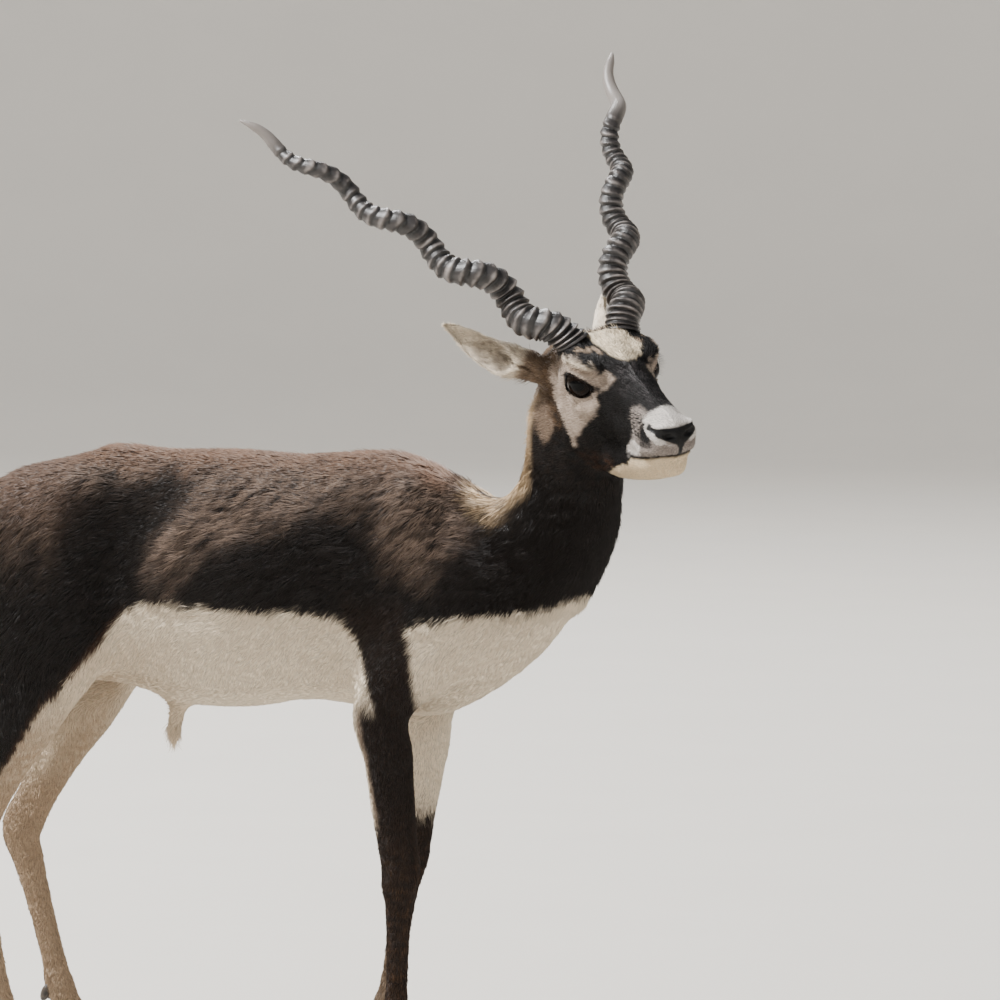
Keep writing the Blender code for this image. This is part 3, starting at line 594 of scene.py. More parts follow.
def finish_piece(obj, material, slot, *nodes):
    """Sets a piece in the part's frame and says which solids it stands for."""
    obj.data.transform(Matrix.Translation(BODY_SHIFT))
    obj.data.materials.clear()
    obj.data.materials.append(material)
    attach(obj, "root")
    if nodes:
        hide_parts(*nodes)


def scene_settings(name):
    return getattr(bpy.context.scene, "blackbuck_" + name)


# The skin

def leg_rows(name):
    joints = mirrored(LEG_JOINTS[name], side_of(name))
    joints = np.vstack((joints, 2 * joints[-1] - joints[-2]))
    table = np.array(FORELEG_ROWS if name.startswith("fore") else HINDLEG_ROWS)
    start = table[:, 0].astype(int)
    line = joints[start] + (joints[start + 1] - joints[start]) * table[:, 1:2]
    return np.hstack((line, metres(table[:, 2:])))


def flat_rows(table):
    """Rows of a body that runs along X in its middle plane."""
    x, z, width, rise, drop = np.array(table).T
    return np.stack((x, 0 * x, z, width, rise, drop), 1)


def stub_rows(base, direction, spans, radius):
    """Rows of a short round stub along a direction."""
    return [(*(base + direction * s), radius, radius, radius) for s in spans]


def ear_surface(side):
    """A curled leaf: start + u length + radius(u) (sin(a) across - cos(a) facing), a = v curl(u)."""
    lean = unit(mirrored(EAR_DIRECTION, side))
    facing = mirrored(EAR_FACING, side)
    facing = unit(facing - lean * (facing @ lean))
    across = np.cross(lean, facing)
    table = spline(EAR_CURL, 6)
    u, radius, spread = table[:, 0:1], table[:, 1:2], np.radians(np.minimum(table[:, 2:3], 172))
    v = np.linspace(-1, 1, 33)[None, :]
    thickness = 0.0034 * np.clip(1.15 - u, 0.45, 1) * np.sqrt(np.clip(1.06 - v**2, 0.3, 1))
    hollow = step(u, 0.03, 0.16)
    inner = np.maximum(0.0004, (radius - np.minimum(thickness, radius * 0.62)) * hollow)
    start = mirrored(EAR_BASE, side) + lean * 0.010
    centre = start + u[..., None] * (EAR_LENGTH - 0.010) * lean
    sag = np.array((0.0, 0.0, -1.0))
    sag = unit(sag - lean * (sag @ lean))
    centre = centre + EAR_BOW * np.sin(math.pi * clipped(u))[..., None] * sag
    ray = np.sin(spread * v)[..., None] * across - np.cos(spread * v)[..., None] * facing
    outer = centre + ray * radius[..., None]
    inside = centre + ray * inner[..., None]
    loops = np.concatenate((outer, inside[:, ::-1]), axis=1)
    return tube(loops if side > 0 else loops[:, ::-1])


def body_surfaces():
    """Every sweep and lump of the torso, neck, legs and tail."""
    surfaces = [sweep(flat_rows(TORSO)), sweep(NECK), sweep(TAIL), sweep(SHEATH)]
    for side, _ in SIDES:
        surfaces += [ellipsoid(mirrored(centre, side), sizes) for centre, sizes in TORSO_LUMPS]
    surfaces += [sweep(leg_rows(name)) for name in LEG_JOINTS]
    return surfaces


def head_surfaces():
    """Every sweep and lump of the head and the neck below it, with ears and horn seats."""
    surfaces = [sweep(flat_rows(SKULL)), sweep(flat_rows(JAW))]
    for side, _ in SIDES:
        surfaces += [ellipsoid(mirrored(centre, side), sizes) for centre, sizes in HEAD_LUMPS]
        seat = unit(mirrored(HORN_SEAT, side))
        surfaces.append(sweep(stub_rows(mirrored(HORN_BASE, side), seat, (-0.03, 0.0, 0.002), 0.0225)))
        lean = unit(mirrored(EAR_DIRECTION, side))
        surfaces.append(sweep(stub_rows(mirrored(EAR_BASE, side), lean, (-0.03, 0.0, 0.012), 0.0175)))
    surfaces = [placed(surface, from_head) for surface in surfaces]
    surfaces.append(sweep(NECK))
    return surfaces


def eye_turn(side):
    """Rows: towards the nose, upwards, and out along the line of sight."""
    sight = unit(mirrored(EYE_AXIS, side))
    up = unit(np.array((0.0, 0.0, 1.0)) - sight * sight[2])
    ahead = unit(np.cross(up, sight)) * (1 if np.cross(up, sight)[0] > 0 else -1)
    return np.array((ahead, up, sight))


def eye_place(side):
    """Function from an eye's own frame to the body frame."""
    turn = eye_turn(side)
    return lambda points: from_head(np.asarray(points) @ turn + mirrored(EYE_CENTRE, side))


def almond(grow, count=ALMOND_POINTS):
    """Outline of the lids: cos(v) half length, sin(v) |sin(v)|^0.35 half height, less above,
    moved back and sloping down towards the nose."""
    v = circle(count)
    half_length, half_height = LID_OPENING
    x = np.cos(v) * half_length
    y = np.sin(v) * np.abs(np.sin(v)) ** 0.35 * half_height * np.where(np.sin(v) > 0, 0.80, 1.05)
    return np.stack((x + LID_SHIFT, y - LID_SLOPE * x), 1) * grow


def eye_solid(side, name, surface):
    """A closed surface in the eye's frame, set in the body frame and turned outwards."""
    obj = mesh_object(name, *placed(surface, eye_place(side)))
    outward(obj)
    return obj


def eye_ball(side, name, radius):
    return eye_solid(side, name, ellipsoid((0, 0, 0), (radius, radius, radius), rings=40, sides=64))


def open_eyes(head):
    """A shell of lids round each eyeball, cut by an almond, and the socket hollowed out."""
    for side, _ in SIDES:
        shell = eye_ball(side, "lids", EYE_RADIUS + LID_THICKNESS)
        rings = [
            np.hstack((almond(grow), np.full((ALMOND_POINTS, 1), depth)))
            for depth, grow in ((EYE_RADIUS * 0.2, 0.9), (EYE_RADIUS * 1.5, 1.12))]
        combine(shell, eye_solid(side, "almond", tube(np.array(rings))), "DIFFERENCE")
        combine(head, shell, "UNION")
        combine(head, eye_ball(side, "socket", EYE_RADIUS + SOCKET_GAP), "DIFFERENCE")


def face_detail(points):
    """True on the muzzle and round the eyes, where the skin needs a finer mesh."""
    head = folded(to_head(points))
    eye = np.linalg.norm(head - EYE_CENTRE, axis=1) < 0.036
    muzzle = (head[:, 0] > 0.180) & (head[:, 2] > -0.075)
    return eye | muzzle


def refine(obj, region):
    """Splits every edge inside a region in two."""
    chosen = region(points_of(obj.data))
    with edited(obj.data) as bm:
        edges = [e for e in bm.edges if chosen[e.verts[0].index] and chosen[e.verts[1].index]]
        bmesh.ops.subdivide_edges(bm, edges=edges, cuts=1, use_grid_fill=True)
        bmesh.ops.triangulate(bm, faces=[f for f in bm.faces if len(f.verts) > 4])
    relax_object(obj, region(points_of(obj.data)).astype(float), 2)


def press(obj, strokes, in_head=False):
    """Moves the surface along its normals by depth times the falling curve of each stroke.

    The strokes lie on the left. In the head frame the right side is folded onto them, and
    in the body frame they are mirrored.
    """
    points = points_of(obj.data)
    local = folded(to_head(points)) if in_head else points
    depth = np.zeros(len(points))
    for path, width, amount in strokes:
        for side in (1,) if in_head else (1, -1):
            depth += amount / 1000 * stroke(local, mirrored(metres(path), side), width / 1000)
    set_points(obj.data, points - normals_of(obj.data) * depth[:, None])


def keep_side(bm, point, normal, keep):
    """Cuts a mesh with a plane and keeps the side ahead of it or behind it, left open."""
    bmesh.ops.bisect_plane(
        bm, geom=[*bm.verts, *bm.edges, *bm.faces], dist=1e-6, plane_co=point, plane_no=normal,
        clear_inner=keep > 0, clear_outer=keep < 0)


def keep_largest(obj):
    """Leaves only the largest closed surface: each point takes the lowest number it can reach."""
    edges = edges_of(obj.data)
    label = np.arange(len(obj.data.vertices))
    while (label[edges[:, 0]] != label[edges[:, 1]]).any():
        lowest = np.minimum(label[edges[:, 0]], label[edges[:, 1]])
        np.minimum.at(label, edges[:, 0], lowest)
        np.minimum.at(label, edges[:, 1], lowest)
        label = label[label]
    with edited(obj.data) as bm:
        bm.verts.ensure_lookup_table()
        loose = [bm.verts[k] for k in np.flatnonzero(label != np.bincount(label).argmax())]
        bmesh.ops.delete(bm, geom=loose, context="VERTS")


def join_at_neck(body, head):
    """Both skins are cut at the neck, a small gap apart, and their open edges bridged."""
    point, normal = (Vector(v) for v in NECK_JOIN)
    normal.normalize()
    with edited(head.data) as upper:
        keep_side(upper, point + normal * NECK_GAP, normal, 1)
    with edited(body.data) as skin:
        keep_side(skin, point, normal, -1)
        skin.from_mesh(head.data)
        bmesh.ops.bridge_loops(skin, edges=[e for e in skin.edges if e.is_boundary])
        loose = sum(e.is_boundary for e in skin.edges)
        if loose:
            raise RuntimeError(f"{loose} open edges are left at the neck")
        bmesh.ops.recalc_face_normals(skin, faces=skin.faces)
    bpy.data.objects.remove(head)
    keep_largest(body)
    body.data.shade_smooth()


def coat_depth(points):
    """How deep the skin lies under the coat: 6 mm on the body, 1.5 on legs, 0.8 on the head."""
    above = step(to_head(points) @ HEAD_SPLIT, -0.10, -0.04)
    depth = 0.0015 + 0.0045 * step(points[:, 2], 0.40, 0.56)
    return depth * (1 - above) + 0.0008 * above


def body_skin(settings):
    """The fused body, smoothed most on the torso, less on the neck and least on the legs."""
    body = mesh_object("skin", *joined(body_surfaces()))
    fuse(body, settings.body_voxel)
    height = points_of(body.data)[:, 2]
    weights = np.clip((height - 0.42) / 0.14, 0.03, 1)
    above = clipped((height - 0.78) / 0.05)
    weights = weights * (1 - above) + 0.14 * above
    relax_object(body, weights, int(BODY_ROUNDS * (ROUNDS_VOXEL / settings.body_voxel) ** 2))
    thin_out(body, settings.body_faces)
    press(body, BODY_FORMS)
    return body


def head_skin(settings):
    """The fused head with its lids, ears and creases."""
    head = mesh_object("head_skin", *joined(head_surfaces()))
    fuse(head, settings.head_voxel)
    relax_object(head, 1.0, int(HEAD_ROUNDS * (ROUNDS_VOXEL / settings.head_voxel) ** 2))
    open_eyes(head)
    fuse(head, settings.head_voxel)
    relax_object(head, 1.0, LID_ROUNDS)
    thin_out(head, settings.head_faces)
    ears = mesh_object("ears", *joined([placed(ear_surface(side), from_head) for side, _ in SIDES]))
    outward(ears)
    combine(head, ears, "UNION")
    refine(head, face_detail)
    press(head, HEAD_CREASES, in_head=True)
    return head


def make_skin(settings):
    body = body_skin(settings)
    join_at_neck(body, head_skin(settings))
    mesh = body.data
    points = points_of(mesh)
    point, normal = (np.array(v) for v in NECK_JOIN)
    away = np.abs((points - point) @ unit(normal))
    points = relax(points, edges_of(mesh), step(away, 0.030, 0.005), SEAM_ROUNDS)
    set_points(mesh, points)
    points = points - normals_of(mesh) * coat_depth(points)[:, None]
    set_points(mesh, points)
    unwrap(body)
    colour, pad = coat_colours(points, normals_of(mesh))
    # painted shade: away from the bare nose the skin is painted at 0.6 of the coat's colour, as the shade
    # among the hairs above it
    store(mesh, "coat", colour * (0.6 + 0.4 * pad[:, None]))
    store(mesh, "bare", pad)
    return body


# Markings

# Outlines on the side of the head: x in millimetres, angle round the muzzle's axis in degrees
EYE_RING = (
    (39, 42), (61, 47), (89, 50), (104, 51), (116, 53), (127, 53), (134, 56), (136, 64), (143, 67),
    (151, 67), (152, 60), (147, 52), (140, 46), (132, 42), (137, 37), (142, 29), (142, 18), (138, 7),
    (123, -7), (112, -19), (108, -27), (104, -34), (98, -41), (92, -47), (89, -38), (84, -30),
    (78, -23), (70, -17), (57, -13), (49, -7), (49, 4), (51, 17), (47, 26), (42, 32))
BROW_STREAK = (
    (95, 55), (97, 62), (103, 66), (100, 72), (108, 76), (118, 76), (117, 70), (112, 64), (109, 56))
EAR_STRIPE = ((-6, -14), (29, -9), (44, -18), (55, -30), (53, -40), (45, -42), (33, -36), (14, -26))
DARK_STRIPE = (
    (23, 46), (43, 34), (49, 8), (57, -12), (70, -20), (76, -30), (60, -37), (46, -26), (30, -6),
    (35, 21), (25, 33))
SIDE_PATCH = (
    (193, 37), (191, 49), (195, 58), (205, 61), (216, 60), (219, 48), (217, 34), (218, 17),
    (216, -2), (204, -3), (201, 16), (194, 29))
DARK_SPOT = ((221, 20), (228, 15), (236, 9), (244, 1), (243, -5), (232, -13), (222, -12), (221, 6))
NOSE_RING = (
    (219, 47), (222, 31), (229, 20), (240, 14), (252, 8), (259, 10), (257, 26), (247, 25), (246, 31),
    (235, 38), (230, 44), (226, 49))
LIP_SPOT = ((200, -12), (222, -8), (224, -30), (205, -50), (190, -56), (179, -55), (180, -44))
# Painted highlight of sunlit hair on the flank and shoulder, and the hollow between flank and thigh
# left black as painted shade, as x and z along the side of the body in millimetres
FLANK_PAINTED_LIGHT = (
    (-351, 790), (-256, 790), (-179, 790), (-200, 740), (-234, 712), (-333, 680), (-385, 640),
    (-401, 612), (-436, 640), (-426, 681), (-384, 724))
SHOULDER_PAINTED_LIGHT = (
    (-150, 790), (-46, 790), (0, 760), (-18, 690), (-62, 644), (-112, 664), (-134, 712))
THIGH_SHADED_HOLLOW = (
    (-556, 738), (-500, 750), (-440, 764), (-366, 778), (-386, 728), (-424, 686), (-438, 644),
    (-428, 606), (-479, 606), (-522, 628), (-539, 690))
# The cream patch on the forehead seen from above: x and y in millimetres
FOREHEAD = (
    (66, -20), (88, -23), (102, -18), (113, -16), (121, -14), (131, -11), (139, -3), (141, 5),
    (134, 17), (126, 28), (116, 34), (102, 33), (88, 27), (66, 22))
# The bare nose seen from the front: distance from the middle and z in millimetres
NOSE_PAD = (
    (-4, 10.5), (11, 11), (22, 12.5), (28, 11.5), (30.5, 8.5), (27, 3.5), (21, -1), (13, -4),
    (6, -7.5), (3.2, -12), (2.4, -22), (-4, -22))
# Where dark coat meets white: x and z along the side of the body
WHITE_LINE = metres((
    (-760, 300), (-660, 350), (-627, 394), (-603, 427), (-572, 472), (-547, 493), (-496, 557),
    (-479, 582), (-457, 603), (-427, 611), (-354, 606), (-273, 605), (-198, 601), (-170, 596),
    (-130, 590), (-84, 588), (-39, 600), (-1, 607), (31, 609), (74, 614), (115, 623), (170, 640)))
# Lower edge of the dark face: x and z in the head frame
JAW_LINE = metres((
    (60, -130), (100, -107), (110, -101), (141, -77), (163, -64), (184, -53), (192, -43)))
MOUTH_LINE = metres((
    (187, -45.5), (209, -39), (236, -28), (249, -23.2), (257, -22), (261, -21.5)))


def within(x, y, outline, soft):
    """1 inside a closed outline and 0 outside, with a border of the given softness.

    The distance to the nearest side of the outline is signed by how many sides a ray
    towards +x crosses, and runs through a smooth step.
    """
    corners = np.array(outline, float)
    best = np.full(len(x), np.inf)
    crossings = np.zeros(len(x), int)
    for start, end in zip(corners, np.roll(corners, -1, axis=0)):
        side = end - start
        dx, dy = x - start[0], y - start[1]
        share = clipped((dx * side[0] + dy * side[1]) / (side @ side))
        best = np.minimum(best, np.hypot(dx - share * side[0], dy - share * side[1]))
        between = (start[1] > y) != (end[1] > y)
        if between.any():
            crossings += between & (dx < side[0] * dy / (side[1] or 1e-9))
    signed = np.where(crossings % 2 == 1, best, -best)
    return step(signed, -soft, soft)


def along_curve(values, table):
    """Second column of a table at the given values of the first."""
    table = np.array(table)
    return np.interp(values, table[:, 0], table[:, 1])


def above_neck(points):
    """0 on the neck and 1 on the head, across a plane behind the jaw."""
    return step(to_head(points) @ HEAD_SPLIT, -0.095, -0.055)


def leg_angle(points, name):
    """Degrees round a leg: 0 ahead, 90 outwards, 180 behind, -90 inwards."""
    joints = LEG_JOINTS[name][::-1]
    centre = np.interp(points[:, 2], joints[:, 2], joints[:, 0])
    spread = np.interp(points[:, 2], joints[:, 2], joints[:, 1])
    return np.degrees(np.arctan2(np.abs(points[:, 1]) - spread, points[:, 0] - centre))


def leg_value(points, kind):
    """The angle round the nearer leg of a pair."""
    return np.where(
        points[:, 1] < 0, leg_angle(points, kind + "_right"), leg_angle(points, kind + "_left"))


class Paint:
    """A colour for each point; each marking is laid over the ones before it."""

    def __init__(self, colours, ground, count):
        self.colours = colours
        self.layer = np.tile(colours[ground], (count, 1))

    def over(self, name, share):
        self.layer = mix(self.layer, self.colours[name], share)


def paint_back(paint, points, height, coarse):
    """Greyish sheen of the sunlit flank, the rusty back, and the pale fan where the neck begins."""
    x, y, z = points.T
    wide = np.abs(y)
    streak = ripple(points * (0.3, 1, 1.4), 0.022, 9)
    along_x, along_z = 1000 * x, 1000 * (z + 0.006 * coarse)
    # painted highlight: the lit patches where sunlit hair on the flank, shoulder and rump is painted paler
    lit = within(along_x, along_z, FLANK_PAINTED_LIGHT, 22) + within(along_x, along_z, SHOULDER_PAINTED_LIGHT, 26)
    lit = clipped(lit + 0.8 * step(x, -0.53, -0.58) * step(height, 0.60, 0.74))
    # painted shade: the hollow before the thigh keeps the black, without the painted highlight
    hollow = within(along_x, along_z, THIGH_SHADED_HOLLOW, 18)
    slant = points @ np.array(((0.70, 0.0, 0.71), (0.0, 1.0, 0.0), (-0.71, 0.0, 0.70)))
    slant = slant * (0.75, 1.0, 0.16)
    lock = 0.5 * ripple(slant, 0.013, 27) + 0.5 * ripple(slant * (1.7, 1.3, 2.6), 0.009, 28)
    # painted highlight of sunlit hair along the upper flank, in streaks the size of hair locks
    sheen = np.maximum(step(height, 0.700, 0.760), lit) * step(x, 0.06, -0.02) * (1 - 0.9 * hollow)
    paint.over("sheen", sheen * clipped(0.52 + 0.50 * lock + 0.12 * coarse))
    back = step(height, 0.757, 0.797) * step(x, 0.07, 0.02) * (1 - 0.25 * clipped(streak + lock))
    paint.over("back", back)
    rump = step(x, -0.50, -0.60) * step(height, 0.66, 0.76)
    paint.over("rump", rump * 0.85)
    withers = step(np.hypot((x + 0.045) / 0.085, wide / 0.06), 1.1, 0.5) * step(height, 0.74, 0.77)
    paint.over("back", withers)
    fan = step(np.sqrt(((x - 0.012) / 0.042) ** 2 + (wide / 0.046) ** 2), 1.25, 0.55)
    fan = fan * step(z, 0.690, 0.735) * clipped(0.70 + 0.5 * streak + 0.3 * lock)
    paint.over("nape", fan)


def paint_white(paint, points, height, coarse, fine):
    """White belly, breast and inner legs with their rusty edge; says how white each point is."""
    x, y, z = points.T
    wide = np.abs(y)
    edge = along_curve(x, WHITE_LINE) + 0.0035 * fine + 0.003 * coarse
    breast = step(x, 0.045, 0.075) * step(z, 0.72, 0.60)
    edge = edge + 0.012 * breast * step(wide, 0.06, 0.0)
    white = step(edge - height, -0.004, 0.006)
    paint.over("rust", step(edge - height, -0.016, -0.002) * 0.55 * step(x, -0.46, -0.48))
    paint.over("white", white)
    warm = white * step(x, -0.36, -0.46) * step(z, 0.60, 0.52)
    paint.over("warm_white", warm * 0.5)
    return white


def paint_forelegs(paint, points, fine):
    """Dark outer side and lower leg, with a paler inner side and a brown foot."""
    x, y, z = points.T
    wide = np.abs(y)
    angle = leg_value(points, "foreleg")
    ahead = step(x, -0.24, -0.21)
    front_leg = ahead * step(z, 0.640, 0.600) * step(x, 0.02, -0.03)
    start = np.where(y < 0, -34, 25)
    strip = step(angle - start, 0, 12) * step(angle, 142, 122) * step(wide, 0.052, 0.066)
    reach = step(x - (-0.165 + 0.35 * np.maximum(0.594 - z, 0)), -0.006, 0.004)
    bound = step(x - (-0.078 - 0.12 * np.maximum(z - 0.55, 0)), 0.006, -0.004)
    upper = step(z, 0.47, 0.50)
    strip = strip * (1 - upper) + step(wide, 0.060, 0.072) * reach * bound * upper
    rusty = step(angle, 100, 120) * step(angle, 160, 140) * step(z, 0.52, 0.46) * step(wide, 0.05, 0.07)
    paint.over("rust", front_leg * rusty * 0.8)
    paint.over("leg_dark", front_leg * strip)
    below = front_leg * step(z + 0.010 * fine, 0.352, 0.325)
    paint.over("leg_dark", below)
    pale_inner = below * step(angle, -60, -95) * step(angle, -175, -150) * step(z, 0.27, 0.24)
    paint.over("leg_pale", pale_inner * 0.7)
    lower = front_leg * step(z, 0.40, 0.20) * clipped(0.35 + 0.5 * fine)
    paint.over("leg_brown", lower)


def paint_hindlegs(paint, points, white, coarse, fine):
    """Tan shanks, white inner side and the ragged white of the rump."""
    x, y, z = points.T
    wide = np.abs(y)
    angle = leg_value(points, "hindleg")
    behind = step(x, -0.47, -0.52)
    inner = behind * step(angle, -12, -30) * step(angle, -168, -150) * step(z, 0.56, 0.52)
    paint.over("warm_white", inner * step(z, 0.30, 0.36))
    gaskin = behind * white * step(z, 0.50, 0.40) * step(wide, 0.035, 0.060)
    paint.over("tan", gaskin * clipped(0.75 + 0.3 * fine))
    shank = behind * step(z, 0.40, 0.34)
    paint.over("tan", shank * 0.9)
    rear = shank * np.maximum(step(angle, 125, 150), step(angle, -150, -165))
    paint.over("leg_brown", rear * step(z, 0.31, 0.27))
    ragged = 0.012 * coarse + 0.006 * fine
    oval = np.sqrt((wide / 0.062) ** 2 + ((z - 0.600) / 0.120) ** 2) + 6 * ragged
    rim = behind * step(x, -0.620, -0.690) * step(oval, 1.25, 0.75)
    paint.over("white", rim)
    seam = behind * step(x, -0.600, -0.680) * step(wide + ragged, 0.085, 0.045) * step(z, 0.52, 0.48)
    paint.over("warm_white", seam * step(z, 0.33, 0.42))


def body_colours(points, colours):
    """Torso, neck, tail and legs."""
    x, y, z = points.T
    coarse = ripple(points, 0.060, 3)
    fine = ripple(points * (0.35, 1, 1), 0.012, 4)
    height = z + 0.004 * coarse
    paint = Paint(colours, "black", len(points))
    paint_back(paint, points, height, coarse)
    white = paint_white(paint, points, height, coarse, fine)
    paint_forelegs(paint, points, fine)
    paint_hindlegs(paint, points, white, coarse, fine)
    tail = step(x, -0.750, -0.757) * step(z, 0.60, 0.62)
    paint.over("black", tail * step(x, -0.763, -0.770))
    paint.over("white", tail * step(x, -0.768, -0.762))
    sheath = step(np.hypot(x + 0.435, y) / 0.035, 1.0, 0.7) * step(z, 0.49, 0.46)
    paint.over("warm_white", sheath * 0.8)
    return paint.layer


def head_colours(points, colours):
    """Black mask, pale eye rings, forehead, muzzle, chin and ears."""
    head = to_head(points)
    x, y, z = head.T
    wide = np.abs(y)
    ripples = ripple(head * (0.5, 1, 1), 0.010, 11)
    speck = ripple(head, 0.0045, 12)
    long_x = x * 1000 + 1.6 * ripples
    angle = np.degrees(np.arctan2(z + 0.010, wide))
    arc = (angle + 2.0 * ripple(head, 0.014, 13)) * 0.85

    def side(outline, soft=2.0):
        return within(long_x, arc, [(a, b * 0.85) for a, b in outline], soft)

    paint = Paint(colours, "mask", len(points))
    cheek = step(x, 0.15, 0.10) * step(z, -0.02, -0.05)
    paint.over("cheek", cheek * clipped(0.55 + 0.5 * ripples))
    rust = step(np.hypot((x - 0.135) / 0.045, (z + 0.078) / 0.022), 1.2, 0.5)
    paint.over("rust", rust * np.clip(0.3 + 0.5 * ripples, 0, 0.8))
    # painted highlight: grey streaks of light on the black hair along the bridge of the nose
    bridge = step(wide, 0.032, 0.014) * step(z, 0.020, 0.032) * step(x, 0.125, 0.150)
    paint.over("bridge", bridge * step(speck + 0.6 * ripples, 0.0, 0.7))
    # brown behind the eye, with the pale stripe below the ear
    temple = step(x, 0.060, 0.042) * step(z, -0.060, -0.020) * step(x, -0.030, -0.015)
    paint.over("temple", temple * clipped(0.75 + 0.4 * ripples))
    skull = step(x, 0.034, 0.006) * step(z, -0.075, -0.035)
    paint.over("temple", skull * clipped(0.8 + 0.3 * ripples))
    paint.over("stripe", side(EAR_STRIPE, 3.0))
    paint.over("dark_stripe", side(DARK_STRIPE, 2.5) * clipped(0.65 + 0.5 * ripples))
    ring = side(EYE_RING, 2.4)
    paint.over("ring", ring)
    local = (np.stack((x, wide, z), 1) - EYE_CENTRE) @ eye_turn(1).T
    # painted highlight: the top of the eye ring, on the brow ridge, is painted whiter where light falls on
    # it
    above = bell(local[:, 1] - 0.027, 0.0045) * step(np.abs(local[:, 0] + 0.002), 0.030, 0.018)
    paint.over("white", ring * clipped(above * 1.1))
    # painted shade: the fold between the brow ridge and the upper lid is painted in the brown of the temple
    hollow = bell(local[:, 1] - 0.0190, 0.0036) * step(np.abs(local[:, 0] - 0.004), 0.026, 0.012)
    paint.over("temple", ring * hollow * 0.75)
    along_lid = (local[:, 0] - LID_SHIFT) / 0.0235
    over_lid = (local[:, 1] + LID_SLOPE * local[:, 0]) / np.where(local[:, 1] > 0, 0.0118, 0.0150)
    lid = step(np.hypot(along_lid, over_lid), 1.14, 1.00) * step(local[:, 2], -0.004, 0.004)
    paint.over("lid", lid)
    tear = bell(local[:, 0] - 0.026, 0.007) * bell(local[:, 1] + 0.001, 0.0030)
    paint.over("lid", tear)
    # forehead
    paint.over("streak", side(BROW_STREAK, 2.0) * clipped(0.35 + 1.0 * ripples))
    over = step(z, 0.035, 0.045)
    patch = within(long_x, y * 1000 + 1.5 * ripples, FOREHEAD, 1.8) * clipped(0.92 + 0.25 * ripples)
    paint.over("cream", over * patch)
    crown = step(x, 0.070, 0.045) * step(z, 0.02, 0.04) * step(x, -0.03, -0.01)
    paint.over("temple", crown * 0.8)
    # muzzle
    snow = step(x + 0.25 * np.maximum(wide - 0.010, 0), 0.217, 0.223) * step(z, 0.0095, 0.0125)
    freckled = step(speck + step(z, 0.012, 0.024) * 0.9, -0.25, 0.25)
    paint.over("lip", side(SIDE_PATCH, 3.0) * freckled * 0.9)
    paint.over("muzzle", snow)
    mouth = along_curve(x, MOUTH_LINE)
    lip = step(x, 0.196, 0.206) * step(z - mouth, -0.0005, 0.0015) * step(z, -0.006, -0.012)
    front = step(x, 0.238, 0.246) * step(z - mouth, -0.0005, 0.0015) * step(z, 0.003, 0.0)
    paint.over("lip", np.maximum(lip, front) * clipped(0.9 + 0.3 * speck))
    paint.over("mask", side(DARK_SPOT, 2.2) * clipped(0.75 + 0.4 * speck))
    paint.over("muzzle", side(NOSE_RING, 1.0))
    paint.over("muzzle", side(LIP_SPOT, 2.0) * step(z - mouth, -0.004, 0.0))
    chin = step(along_curve(x, JAW_LINE) - z + 0.002 * ripples, -0.002, 0.003) * step(x, 0.100, 0.125)
    chin = chin * step(z + 0.35 * (x - 0.10), -0.112, -0.104)
    chin = np.where(x > 0.187, step(mouth - z, -0.0005, 0.0015), chin)
    paint.over("chin", chin)
    # painted shade: a dark band under the upper lip and a dark line along the mouth's crease stand for the
    # shade under the lip
    under = step(mouth - z, 0.0055, 0.0) * step(mouth - z, -0.001, 0.001) * step(x, 0.184, 0.192)
    paint.over("cheek", under * 0.7)
    gap = bell(z - mouth, 0.0022) * step(x, 0.184, 0.190)
    paint.over("gap", gap)
    pad = within(wide * 1000, z * 1000, NOSE_PAD, 0.5) * step(x, 0.222, 0.228)
    paint.over("nose", pad)
    return paint.layer, pad


def ear_axes(head):
    """Base, lean and the way the cup faces, of the ear on each point's own side."""
    side = np.where(head[:, 1] < 0, -1.0, 1.0)
    flip = np.stack((np.ones_like(side), side, np.ones_like(side)), 1)
    return EAR_BASE * flip, unit(EAR_DIRECTION) * flip, EAR_FACING * flip


def ear_share(head):
    """How far along the nearer ear a point lies, and how far it stands from the ear's axis."""
    base, lean, _ = ear_axes(head)
    share = ((head - base) * lean).sum(1) / EAR_LENGTH
    return share, np.linalg.norm(head - base - lean * (share * EAR_LENGTH)[:, None], axis=1)


def on_ear(head):
    share, away = ear_share(head)
    return step(share, 0.06, 0.16) * step(away, 0.034, 0.028)


def ear_colours(points, normals, colours):
    """White hair inside and at the rim, a brown-grey patch behind."""
    head = to_head(points)
    share, _ = ear_share(head)
    open_side = ((normals @ HEAD_TURN) * ear_axes(head)[2]).sum(1)
    paint = Paint(colours, "white", len(points))
    # painted shade: brown-grey down in the cup of the ear
    patch = step(open_side, -0.1, 0.3) * step(share, 0.80, 0.55) * step(share, 0.12, 0.3)
    paint.over("ear_shade", patch * clipped(0.55 + 0.4 * ripple(head, 0.012, 15)))
    paint.over("temple", step(share, 0.34, 0.16) * step(open_side, 0.1, -0.3) * 0.7)
    return paint.layer


